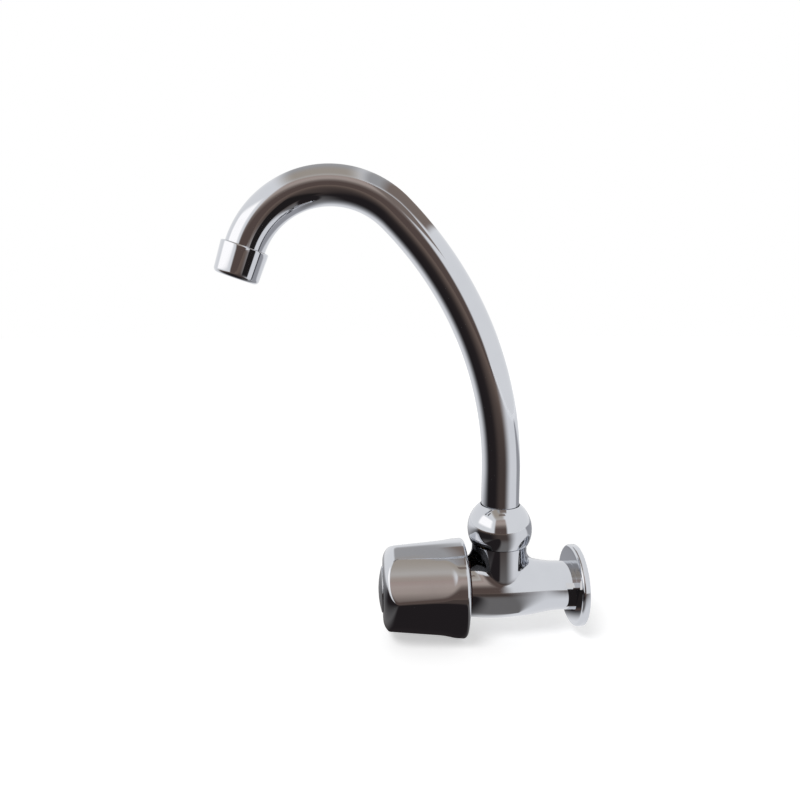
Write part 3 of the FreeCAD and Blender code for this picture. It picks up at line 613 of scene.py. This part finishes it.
@dataclass
class WallFlange:
    """The pressed flange against the wall."""

    hole_radius: float = 12.45
    rim_radius: float = 21.5
    depth: float = 4.0
    wall: float = 1.0
    edge: float = 1.6
    rounding: float = 0.2
    edge_steps: int = 10
    face_steps: int = 6
    round_steps: int = 160

    def build(self) -> bpy.types.Object:
        """Turns the flange's section.

        Returns:
            The flange.
        """
        inner = self.rim_radius - self.wall
        corner = self.wall / 2
        bend = (self.rim_radius - self.edge, self.depth - self.edge)
        outline = [
            (self.hole_radius, self.depth - self.wall),
            (inner - corner, self.depth - self.wall),
            (inner, self.depth - self.wall - corner),
            (inner, 0.0),
            (self.rim_radius, 0.0),
            *arc(bend, self.edge, 0.0, 90.0, self.edge_steps),
            *line((bend[0], self.depth), (self.hole_radius, self.depth), self.face_steps)[1:],
        ]
        flange = turned("flange_pressing", VALVE_AXIS, outline, self.round_steps)
        soften(flange, self.rounding)
        return flange

    def dress(self, flange: bpy.types.Object) -> None:
        """Plates the flange and sets it in its node's place.

        Args:
            flange: The flange.
        """
        dress(flange, Body.TAP, CHROME, "wall_flange")


@dataclass
class Spout:
    """The ball-shaped nut, the bent pipe and the cup of the aerator."""

    neck_place: float = 43.5
    ball_radius: float = 17.0
    ball_centre: float = 33.0
    ball_steps: int = 40
    nut_bottom: float = 25.4
    nut_rounding: float = 0.5
    thread_radius: float = 13.06
    relief_radius: float = 12.25
    relief_start: float = 35.4
    roof: float = 42.0
    opening_radius: float = 10.35
    pipe_radius: float = 9.97
    pipe_sides: int = 96
    pipe_wall: float = 1.2
    pipe_foot: float = 37.0
    bend_start: float = 64.0
    rise_radius: float = 184.0
    rise_turn: float = 45.8
    rise_steps: int = 72
    crook_radius: float = 45.1
    crook_steps: int = 96
    outlet_turn: float = 161.0
    end_straight: float = 7.2
    cup_overlap: float = 8.0
    cup_end: float = 8.0
    cup_bore: float = 11.01
    cup_top_radius: float = 11.9
    cup_end_radius: float = 11.3
    cup_side_steps: int = 8
    cup_edge: float = 2.2
    cup_edge_steps: int = 8
    cup_shoulder: float = 0.8
    cup_shoulder_steps: int = 6
    cup_rounding: float = 0.22
    lip_bore: float = 8.8
    lip_height: float = 0.8
    throat: float = 9.7
    ledge: float = 2.5

    def neck(self) -> Axis:
        """Gives the neck's axis, which the spout turns about.

        Returns:
            The axis.
        """
        return Axis(Vector((0, -self.neck_place * MM, 0)), Vector((0, 0, 1)), Vector((0, 1, 0)))

    def crook_centre(self) -> Vector:
        """Gives the centre of the tight bend.

        Returns:
            The centre in metres.
        """
        turn = math.radians(self.rise_turn)
        inner = self.rise_radius - self.crook_radius
        out = self.neck_place + self.rise_radius - inner * math.cos(turn)
        return Vector((0, -out, self.bend_start + inner * math.sin(turn))) * MM

    def outlet(self) -> Axis:
        """Gives the outlet's axis, which starts at the pipe's end.

        Returns:
            The axis.
        """
        turn = math.radians(self.outlet_turn)
        along = Vector((0, -math.sin(turn), math.cos(turn)))
        out = Vector((0, -math.cos(turn), -math.sin(turn)))
        end = self.crook_centre() + (along * self.end_straight - out * self.crook_radius) * MM
        return Axis(end, along, out)

    def build_nut(self) -> bpy.types.Object:
        """Turns the nut's ball with its thread, relief and opening.

        Returns:
            The nut.
        """
        low = math.degrees(math.asin((self.nut_bottom - self.ball_centre) / self.ball_radius))
        high = math.degrees(math.acos(self.opening_radius / self.ball_radius))
        outline = [
            (self.thread_radius, self.nut_bottom),
            *arc((0.0, self.ball_centre), self.ball_radius, low, high, self.ball_steps),
            (self.opening_radius, self.roof),
            (self.relief_radius, self.roof),
            (self.relief_radius, self.relief_start),
            (self.thread_radius, self.relief_start),
        ]
        nut = turned("nut_ball", self.neck(), outline)
        soften(nut, self.nut_rounding)
        return nut

    def build_pipe(self) -> bpy.types.Object:
        """Draws the pipe from a ring through a straight run, two bends and a short end.

        Returns:
            The pipe.
        """
        clear_selection()
        bpy.ops.mesh.primitive_circle_add(
            vertices=self.pipe_sides, radius=self.pipe_radius * MM, location=(0, 0, 0))
        pipe = bpy.context.object
        pipe.name = "spout_pipe"
        bpy.ops.object.mode_set(mode="EDIT")
        bpy.ops.mesh.select_all(action="SELECT")
        bpy.ops.transform.translate(value=self.neck().point(0, self.pipe_foot))
        rise = Vector((0, 0, self.bend_start - self.pipe_foot)) * MM
        bpy.ops.mesh.extrude_edges_move(TRANSFORM_OT_translate={"value": rise})
        centre = self.neck().point(-self.rise_radius, self.bend_start)
        turn = math.radians(self.rise_turn)
        bpy.ops.mesh.spin(steps=self.rise_steps, angle=-turn, center=centre, axis=(1, 0, 0))
        rest = math.radians(self.outlet_turn) - turn
        bpy.ops.mesh.spin(steps=self.crook_steps, angle=-rest, center=self.crook_centre(), axis=(1, 0, 0))
        end = self.outlet().along * self.end_straight * MM
        bpy.ops.mesh.extrude_edges_move(TRANSFORM_OT_translate={"value": end})
        weld()
        bpy.ops.object.mode_set(mode="OBJECT")
        modify(pipe, "SOLIDIFY", thickness=self.pipe_wall * MM, offset=-1.0)
        shade(pipe, SHADE_ANGLE)
        return pipe

    def build_cup(self) -> bpy.types.Object:
        """Turns the aerator's cup with its shoulder, rounded end and lip.

        Returns:
            The cup.
        """
        shoulder = (self.cup_top_radius - self.cup_shoulder, self.cup_shoulder - self.cup_overlap)
        corner = (self.cup_end_radius - self.cup_edge, self.cup_end - self.cup_edge)
        top = (self.cup_top_radius, shoulder[1])
        outline = [
            (self.cup_bore, -self.cup_overlap),
            *arc(shoulder, self.cup_shoulder, -90.0, 0.0, self.cup_shoulder_steps),
            *line(top, (self.cup_end_radius, corner[1]), self.cup_side_steps)[1:],
            *arc(corner, self.cup_edge, 0.0, 90.0, self.cup_edge_steps)[1:],
            (self.lip_bore, self.cup_end),
            (self.lip_bore, self.cup_end - self.lip_height),
            (self.throat, self.cup_end - self.lip_height),
            (self.throat, self.ledge),
            (self.cup_bore, self.ledge),
        ]
        cup = turned("aerator_cup", self.outlet(), outline)
        soften(cup, self.cup_rounding)
        return cup

    def dress(self, nut: bpy.types.Object, pipe: bpy.types.Object, cup: bpy.types.Object) -> None:
        """Plates the pieces: the nut stays on the tap, the rest swings with the spout.

        Args:
            nut: The nut.
            pipe: The pipe.
            cup: The aerator's cup.
        """
        dress(nut, Body.TAP, CHROME, "spout_nut")
        dress(pipe, Body.SPOUT, CHROME, "spout_tube")
        dress(cup, Body.SPOUT, CHROME, "aerator_shell")


@dataclass
class Knob:
    """The faceted knob and its cap."""

    back: float = 62.2
    front: float = 106.0
    front_steps: int = 5
    back_radius: float = 25.99
    back_edge: float = 1.8
    back_edge_steps: int = 16
    front_radius: float = 23.7
    front_edge: float = 8.5
    front_edge_steps: int = 22
    side_steps: int = 44
    round_steps: int = 320
    cavity_back: float = 20.0
    cavity_end_radius: float = 18.0
    cavity_end: float = 91.2
    hub_radius: float = 12.5
    hub_back: float = 72.0
    socket_radius: float = 7.6
    socket_end: float = 87.0
    screw_hole: float = 2.35
    web_front: float = 89.2
    recess_radius: float = 10.5
    facets: int = 4
    facet_lead: float = 2.0
    facet_run: float = 7.0
    facet_depth: float = 1.45
    facet_front_depth: float = 2.5
    facet_bulge: float = 62.0
    facet_blend: float = 0.3
    run_blend: float = 3.0
    set_angle: float = 34.0
    inside_margin: float = 0.2
    web_margin: float = 1.0
    hollow_margin: float = 0.1
    back_facing: float = 0.95
    cap_radius: float = 12.0
    cap_edge: float = 0.6
    cap_rise: float = 2.4
    cap_steps: int = 24
    cap_wall: float = 2.0
    cap_skirt: float = 8.0
    cap_skirt_radius: float = 10.45
    cap_rounding: float = 0.25

    def build_drum(self) -> bpy.types.Object:
        """Turns the drum with its hollow and hub, then presses the facets into it.

        Returns:
            The knob.
        """
        front_bend = (self.front_radius - self.front_edge, self.front - self.front_edge)
        back_bend = (self.back_radius - self.back_edge, self.back + self.back_edge)
        side_front = (self.front_radius, front_bend[1])
        outline = [
            *line((self.recess_radius, self.front), (front_bend[0], self.front), self.front_steps),
            *arc(front_bend, self.front_edge, 90.0, 0.0, self.front_edge_steps)[1:],
            *line(side_front, (self.back_radius, back_bend[1]), self.side_steps)[1:],
            *arc(back_bend, self.back_edge, 0.0, -90.0, self.back_edge_steps)[1:],
            (self.cavity_back, self.back),
            (self.cavity_end_radius, self.cavity_end),
            (self.hub_radius, self.cavity_end),
            (self.hub_radius, self.hub_back),
            (self.socket_radius, self.hub_back),
            (self.socket_radius, self.socket_end),
            (self.screw_hole, self.socket_end),
            (self.screw_hole, self.web_front),
            (self.recess_radius, self.web_front),
        ]
        drum = turned("knob_drum", VALVE_AXIS, outline, self.round_steps)
        self.press_facets(drum)
        shade(drum, SHADE_ANGLE)
        return drum

    def facet_radius(self, angle: float, distance: float) -> float:
        """Gives how far out the facets lie.

        Args:
            angle: Where round the knob, in radians from the middle of a facet.
            distance: How far from the wall.

        Returns:
            The radius in millimetres.
        """
        stop = self.back + self.facet_run
        low = self.back_radius - self.facet_depth
        high = self.back_radius + self.facet_lead
        end = self.front_radius - self.facet_front_depth
        steep = low + (high - low) * (stop - distance) / self.facet_run
        gentle = low + (end - low) * (distance - stop) / (self.front - stop)
        slack = -soft_least(-steep, -gentle, self.run_blend) - self.facet_bulge
        share = math.tau / self.facets
        angle = (angle + share / 2) % share - share / 2
        reach = self.facet_bulge ** 2 - (slack * math.sin(angle)) ** 2
        return slack * math.cos(angle) + math.sqrt(reach)

    def press_facets(self, drum: bpy.types.Object) -> None:
        """Draws the drum's outside in to its facets, with a soft edge where they meet it.

        Args:
            drum: The turned drum.
        """
        for vertex in drum.data.vertices:
            x, y, z = vertex.co / MM
            radius = math.hypot(x, z)
            behind_web = -y < self.cavity_end + self.web_margin
            if behind_web and radius <= self.cavity_back + self.inside_margin:
                continue
            if radius <= self.recess_radius + self.inside_margin:
                continue
            limit = self.facet_radius(math.atan2(z, x) - math.radians(self.set_angle), -y)
            pressed = soft_least(radius, limit, self.facet_blend)
            vertex.co = Vector((x * pressed / radius, y, z * pressed / radius)) * MM

    def build_cap(self) -> bpy.types.Object:
        """Turns the cap with its shallow dome and its skirt.

        Returns:
            The cap.
        """
        rise = self.cap_rise - self.cap_edge
        dome = (self.cap_radius ** 2 + rise ** 2) / (2 * rise)
        centre = self.front + self.cap_rise - dome
        start = math.degrees(math.acos(self.cap_radius / dome))
        bore = self.cap_skirt_radius - self.cap_wall
        inside = self.front + self.cap_rise - self.cap_wall
        outline = [
            (bore, self.front - self.cap_skirt),
            (self.cap_skirt_radius, self.front - self.cap_skirt),
            (self.cap_skirt_radius, self.front),
            (self.cap_radius, self.front),
            *arc((0.0, centre), dome, start, 90.0, self.cap_steps),
            (0.0, inside),
            (bore, inside - self.cap_edge),
        ]
        cap = turned("knob_disc", VALVE_AXIS, outline)
        soften(cap, self.cap_rounding)
        return cap

    def dress(self, drum: bpy.types.Object, cap: bpy.types.Object) -> None:
        """Plates the drum and its cap, which turn together.

        Args:
            drum: The knob's drum.
            cap: The knob's cap.
        """
        dress(drum, Body.KNOB, CHROME, "knob_shell")
        dress(cap, Body.KNOB, CHROME, "knob_cap")
        drum.data.materials.append(UNPOLISHED.material())
        for face in drum.data.polygons:
            face.material_index = int(self.hidden(face))

    def hidden(self, face: bpy.types.MeshPolygon) -> bool:
        """Tells whether a face of the drum lies in its hollow or on its back, where it isn't polished.

        Args:
            face: A face of the drum.

        Returns:
            True for such a face.
        """
        x, y, z = face.center / MM
        inside = math.hypot(x, z) < self.cavity_back + self.hollow_margin
        hollow = inside and -y < self.cavity_end + self.hollow_margin
        return hollow or face.normal.y > self.back_facing


@dataclass
class Castings:
    """The CAD's own nodes, which get procedural finishes. Those that a new piece replaces are hidden."""

    nodes: dict[str, bpy.types.Object]

    def dress(self) -> None:
        """Swaps each node's plain material for the finish of its slot."""
        for name, node in self.nodes.items():
            for place in node.material_slots:
                place.material = FINISHES[place.material.name.split(".")[0]].material()
            log.info("%s: CAD node with the finish of its slot", name)


def mirror_only(card: bpy.types.Object, paint: Paint) -> None:
    """Gives a card its painted glow and hides it from all but mirrored light.

    Args:
        card: The card.
        paint: Adds the card's colour and mask to a graph.
    """
    made, graph = blank_material(card.name)
    colour, mask = paint(graph)
    glow = graph.add("Emission", Color=colour)
    clear = graph.add("BsdfTransparent")
    both = graph.add("MixShader", Fac=mask)
    graph.put(both.inputs[1], clear.outputs[0])
    graph.put(both.inputs[2], glow.outputs[0])
    graph.add("OutputMaterial", Surface=both.outputs[0])
    card.data.materials.append(made)
    card.visible_camera = False
    card.visible_diffuse = False
    card.visible_shadow = False
    card.visible_transmission = False


class Tone(Enum):
    """Plain tones of the cards, which paint the reflections in the plating."""

    # The darkest tone paints dark reflections, on the flange beside the tail and on the aerator's cup.
    DARK_REFLECTION = (0.02, 0.017, 0.017)
    BROWN = (0.13, 0.093, 0.08)
    TAN = (0.25, 0.20, 0.175)
    DIM = (0.27, 0.215, 0.185)
    GREY = (0.47, 0.46, 0.455)
    ROSE = (0.49, 0.405, 0.355)
    PINK = (0.50, 0.39, 0.345)
    BEIGE = (0.50, 0.44, 0.375)
    PALE = (0.545, 0.45, 0.40)
    DAY = (1.0, 0.97, 0.94)


Tones = tuple[tuple[float, Tone], ...]


def plain(tone: Tone) -> Tones:
    """Gives the tones of a card that is the same all over.

    Args:
        tone: The one tone.

    Returns:
        The tone at both ends of the card.
    """
    return ((0.0, tone), (1.0, tone))


@dataclass(frozen=True)
class Card:
    """A soft-edged card beside the tap that only its plating mirrors: a painted reflection, which glows but
    lights nothing and casts no shadow.

    Its tones run from its lower edge to its upper one, with places from 0 to 1. It reaches from its
    middle by across to each side and by upward to its upper edge, and its own coordinates run from -1
    to 1 both ways.
    """

    name: str
    tones: Tones
    middle: Place
    across: Place
    upward: Place
    soft: float
    light: float = 1.0

    def build(self) -> bpy.types.Object:
        """Sets the card up and hides it from all but mirrored light.

        Returns:
            The card.
        """
        card = plane(self.name, 2.0)
        normal = Vector(self.across).cross(Vector(self.upward)).normalized()
        turn = Matrix((self.across, self.upward, normal)).transposed().to_4x4()
        card.matrix_world = Matrix.Translation(self.middle) @ turn
        mirror_only(card, self.paint)
        return card

    def paint(self, graph: Graph) -> tuple[bpy.types.NodeSocket, bpy.types.NodeSocket]:
        """Adds the card's colour and the mask of its soft edges.

        Args:
            graph: The card's graph.

        Returns:
            The colour and the mask.
        """
        place = graph.add("SeparateXYZ", Vector=graph.add("TexCoord").outputs["Object"])
        edges = [graph.ease(graph.maths("ABSOLUTE", place.outputs[way]), 1.0, 1.0 - self.soft)
                 for way in ("X", "Y")]
        ramp = graph.add("ValToRGB", Fac=graph.ease(place.outputs["Y"], -1.0, 1.0, "LINEAR"))
        stops = ramp.color_ramp.elements
        while len(stops) < len(self.tones):
            stops.new(1.0)
        for stop, (at, tone) in zip(stops, self.tones):
            stop.position = at
            stop.color = (*(channel * self.light for channel in tone.value), 1.0)
        return ramp.outputs["Color"], graph.maths("MULTIPLY", *edges)


ROOM_TONES: Tones = (
    (0.0, Tone.BROWN), (0.38, Tone.BROWN), (0.48, Tone.TAN), (0.58, Tone.ROSE), (0.68, Tone.PALE),
    (0.78, Tone.PINK))
CARDS = (
    Card("ceiling_card", ((0.0, Tone.GREY), (0.5, Tone.GREY), (0.65, Tone.BEIGE)),
         middle=(-0.6, -0.3, 1.3), across=(0.0, 0.58, 0.0), upward=(2.6, 0.0, 0.0), soft=0.55),
    Card("beam_card", ((0.0, Tone.GREY), (0.22, Tone.GREY), (0.34, Tone.DIM), (1.0, Tone.DIM)),
         middle=(-0.08, -0.025, 0.30), across=(0.2, 0.0, 0.0), upward=(0.0, 0.075, 0.0), soft=0.25),
    Card("flag_card", plain(Tone.DIM),
         middle=(0.12, -0.035, 0.275), across=(0.0, 0.055, 0.0), upward=(0.0, 0.0, 0.045), soft=0.3),
    Card("room_card", ROOM_TONES,
         middle=(1.4, -0.25, 0.675), across=(0.0, 0.7, 0.0), upward=(0.0, 0.0, 1.125), soft=0.35),
    # This card paints the bright highlight in the plating: it glows brighter than white but lights nothing.
    Card("window_card", plain(Tone.DAY), middle=(0.42, -1.25, 0.75), across=(0.80, 0.29, 0.0),
         upward=(0.0, 0.0, 0.5), soft=0.4, light=1.6),
    # These two small cards paint a dark reflection with a bright band in the flange's face beside the tail's
    # end.
    Card("flange_dark_reflection_card", ((0.0, Tone.BROWN), (0.2, Tone.DARK_REFLECTION), (1.0, Tone.DARK_REFLECTION)),
         middle=(0.01297, -0.006, -0.00325), across=(0.0, 0.0025, 0.0),
         upward=(0.00307, 0.0, 0.00705), soft=0.1),
    Card("flange_highlight_card", plain(Tone.DAY),
         middle=(0.0162, -0.006, 0.0069), across=(0.0, 0.0025, 0.0), upward=(0.0, 0.0, 0.0026), soft=0.15),
    # This card paints a dark stripe in the reflection on the aerator's cup.
    Card("cup_dark_reflection_card", plain(Tone.DARK_REFLECTION), middle=(0.0291, -0.1457, 0.1697),
         across=(-0.0085, 0.0066, -0.0023), upward=(0.0, 0.0072, 0.0208), soft=0.25),
)


@dataclass(frozen=True)
class Oval:
    """A soft-edged oval on the table.

    Its edge says at what share of its half widths its mask is 0, and at what share it is 1.
    """

    centre: tuple[float, float]
    half: tuple[float, float]
    edge: Limits

    def share(self, graph: Graph, x: bpy.types.NodeSocket, y: bpy.types.NodeSocket) -> bpy.types.NodeSocket:
        """Adds the distance from the oval's middle, as a share of its half widths.

        Args:
            graph: The graph to add it to.
            x: Place along X.
            y: Place along Y.

        Returns:
            The distance, which is 1 on the oval.
        """
        wide = graph.maths("DIVIDE", graph.maths("SUBTRACT", x, self.centre[0]), self.half[0])
        deep = graph.maths("DIVIDE", graph.maths("SUBTRACT", y, self.centre[1]), self.half[1])
        both = graph.maths("ADD", graph.maths("POWER", wide, 2.0), graph.maths("POWER", deep, 2.0))
        return graph.maths("SQRT", both)

    def mask(self, graph: Graph, x: bpy.types.NodeSocket, y: bpy.types.NodeSocket) -> bpy.types.NodeSocket:
        """Adds the oval's mask.

        Args:
            graph: The graph to add it to.
            x: Place along X.
            y: Place along Y.

        Returns:
            The mask, which is 1 inside the oval.
        """
        return graph.ease(self.share(graph, x, y), *self.edge)


@dataclass(frozen=True)
class Table:
    """The table under the tap, painted as its plating mirrors it: the camera sees the white floor in its
    place, and the table glows but lights nothing.

    Paper lies under the tap and behind it, with painted shade on it behind the tap and behind the tail. The
    table is dark towards the camera and the left, and less so far off; it has painted contact shade at the
    apex, by the body, and painted shade ahead of the knob. Turns are degrees round the apex, from +X. Each
    pair of limits says where a mask is 0 and where it is 1.
    """

    height: float
    size: float = 6.0
    paper: Colour = (0.95, 0.95, 0.96)
    shaded: Colour = (0.42, 0.42, 0.44)
    # Painted contact shade at the apex, by the body.
    near: Colour = (0.20, 0.19, 0.185)
    dark: Colour = (0.022, 0.018, 0.019)
    ahead: Colour = (0.085, 0.064, 0.056)
    far: Colour = (0.19, 0.14, 0.115)
    apex: Oval = Oval((0.01, -0.03), (1.0, 1.0), (2.8, 1.6))
    # Painted shade on the table: ahead of the knob, and behind the tail.
    knob_shade: Oval = Oval((0.07, -0.086), (0.10, 0.034), (1.2, 0.8))
    tail_shade: Oval = Oval((-0.034, -0.016), (0.02, 0.014), (1.4, 0.6))
    left_across: Limits = (-0.29, 0.03)
    left_along: Limits = (0.0, -0.06)
    ahead_first: Limits = (53.0, 8.0)
    ahead_last: Limits = (-120.0, -80.0)
    dark_turn: Limits = (-50.0, -12.0)
    near_reach: Limits = (0.05, 0.16)
    far_reach: Limits = (0.3, 1.1)
    shaded_near: Limits = (-0.01, -0.06)
    shaded_far: Limits = (-0.45, -0.25)
    shaded_along: Limits = (-0.14, -0.06)

    def build(self) -> bpy.types.Object:
        """Lays the table just over the floor.

        Returns:
            The table.
        """
        table = plane("table_card", self.size)
        table.data.transform(Matrix.Translation((0, 0, self.height)))
        mirror_only(table, self.paint)
        return table

    def paint(self, graph: Graph) -> tuple[bpy.types.NodeSocket, bpy.types.NodeSocket]:
        """Adds the table's colour and the mask of how far it reaches.

        Args:
            graph: The table's graph.

        Returns:
            The colour and the mask.
        """
        place = graph.add("SeparateXYZ", Vector=graph.add("TexCoord").outputs["Object"])
        x, y = place.outputs["X"], place.outputs["Y"]
        across = graph.maths("SUBTRACT", x, self.apex.centre[0])
        along = graph.maths("SUBTRACT", y, self.apex.centre[1])
        turn = graph.maths("MULTIPLY", graph.maths("ARCTAN2", along, across), math.degrees(1.0))
        reach = self.apex.share(graph, x, y)
        middle = graph.mix(graph.ease(turn, *self.dark_turn), self.dark, self.ahead)
        # The near tone paints contact shade at the apex, by the body.
        tone = graph.mix(graph.ease(reach, *self.near_reach), self.near, middle)
        tone = graph.mix(graph.ease(reach, *self.far_reach), tone, self.far)
        band = graph.maths("MULTIPLY", graph.ease(x, *self.shaded_near), graph.ease(x, *self.shaded_far))
        back = graph.maths("MULTIPLY", band, graph.ease(y, *self.shaded_along))
        paper = graph.mix(back, self.paper, self.shaded)
        paper = graph.mix(self.tail_shade.mask(graph, x, y), paper, self.dark)
        left = graph.maths("MULTIPLY", graph.ease(x, *self.left_across), graph.ease(along, *self.left_along))
        first = graph.ease(turn, *self.ahead_first)
        ahead = graph.maths("MULTIPLY", first, graph.ease(turn, *self.ahead_last))
        tone = graph.mix(graph.maths("MAXIMUM", left, ahead), paper, tone)
        tone = graph.mix(self.knob_shade.mask(graph, x, y), tone, self.dark)
        return tone, graph.ease(reach, *self.apex.edge)


@dataclass
class Studio:
    """The floor, the cards, the lamp, the world and the camera."""

    floor: float = -26.4
    floor_side: float = 8000.0
    floor_tone: Colour = (0.8, 0.8, 0.8)
    floor_glow: float = 0.48
    table_gap: float = 0.6
    stray_light: float = 0.45
    seen_light: float = 1.0
    sun_energy: float = 1.25
    sun_angle: float = 24.0
    sun_way: Place = (-0.55, 0.4, -0.85)
    target: Place = (0.0, -96.79, 102.44)
    azimuth: float = 86.96
    elevation: float = 8.0
    distance: float = 320.0
    focal_pixels: float = 621.23
    frame_pixels: float = 800.0
    sensor: float = 36.0
    nearest: float = 10.0

    def build_floor(self) -> bpy.types.Object:
        """Lays the pale floor, bright enough to run into the background.

        Returns:
            The floor.
        """
        floor = plane("floor", self.floor_side * MM)
        floor.data.transform(Matrix.Translation((0, 0, self.floor * MM)))
        made, graph = blank_material("floor_paper")
        paper = graph.add("BsdfDiffuse", Color=self.floor_tone)
        strength = graph.maths("MULTIPLY", self.seen(graph), self.floor_glow)
        glow = graph.add("Emission", Color=WHITE, Strength=strength)
        both = graph.add("AddShader")
        graph.put(both.inputs[0], paper.outputs[0])
        graph.put(both.inputs[1], glow.outputs[0])
        graph.add("OutputMaterial", Surface=both.outputs[0])
        floor.data.materials.append(made)
        return floor

    @staticmethod
    def seen(graph: Graph) -> bpy.types.NodeSocket:
        """Gives 1 for what the camera, a mirror or glass sees, and 0 for stray light.

        Args:
            graph: The graph to add the nodes to.

        Returns:
            The mask.
        """
        path = graph.add("LightPath")
        mirror = graph.maths("MAXIMUM", path.outputs["Is Glossy Ray"], path.outputs["Is Transmission Ray"])
        return graph.maths("MAXIMUM", path.outputs["Is Camera Ray"], mirror)

    def build_world(self) -> None:
        """Sets an even white surround, at full strength where it is seen."""
        world = bpy.data.worlds.new("surround")
        bpy.context.scene.world = world
        world.use_nodes = True
        world.node_tree.nodes.clear()
        graph = Graph(world.node_tree)
        strength = graph.spread(self.seen(graph), self.stray_light, self.seen_light)
        back = graph.add("Background", Color=WHITE, Strength=strength)
        graph.add("OutputWorld", Surface=back.outputs[0])

    def build_cards(self) -> None:
        """Lays the table and stands the cards that the plating mirrors."""
        Table((self.floor + self.table_gap) * MM).build()
        for card in CARDS:
            card.build()

    def build_lamp(self) -> None:
        """Hangs one soft sun over the camera's side and the knob's end."""
        lamp = bpy.data.lights.new("daylight", "SUN")
        lamp.energy = self.sun_energy
        lamp.angle = math.radians(self.sun_angle)
        holder = bpy.data.objects.new("daylight", lamp)
        holder.rotation_euler = Vector(self.sun_way).to_track_quat("-Z", "Y").to_euler()
        holder.visible_glossy = False
        bpy.context.scene.collection.objects.link(holder)

    def build_camera(self) -> None:
        """Sets the camera at the photograph's angle."""
        turn = math.radians(self.azimuth)
        rise = math.radians(self.elevation)
        back = Vector((math.sin(turn) * math.cos(rise), -math.cos(turn) * math.cos(rise), math.sin(rise)))
        right = Vector((math.cos(turn), math.sin(turn), 0.0))
        up = back.cross(right)
        lens = bpy.data.cameras.new("camera")
        lens.sensor_width = self.sensor
        lens.lens = self.focal_pixels * self.sensor / self.frame_pixels
        lens.clip_start = self.nearest * MM
        camera = bpy.data.objects.new("camera", lens)
        camera.matrix_world = Matrix((right, up, back)).transposed().to_4x4()
        camera.location = (Vector(self.target) + back * self.distance) * MM
        bpy.context.scene.collection.objects.link(camera)
        bpy.context.scene.camera = camera

    def build(self) -> None:
        """Builds the studio around the tap."""
        self.build_floor()
        self.build_world()
        self.build_cards()
        self.build_lamp()
        self.build_camera()
        bpy.context.scene.view_settings.view_transform = "Standard"


def main() -> None:
    """Builds and dresses the tap piece by piece, then the studio around it."""
    logging.basicConfig(level=logging.INFO, format="%(name)s: %(message)s")
    flange = WallFlange()
    flange.dress(flange.build())
    spout = Spout()
    spout.dress(spout.build_nut(), spout.build_pipe(), spout.build_cup())
    knob = Knob()
    knob.dress(knob.build_drum(), knob.build_cap())
    Castings(frame["nodes"]).dress()
    Studio().build()


if __name__ == "__main__":
    main()
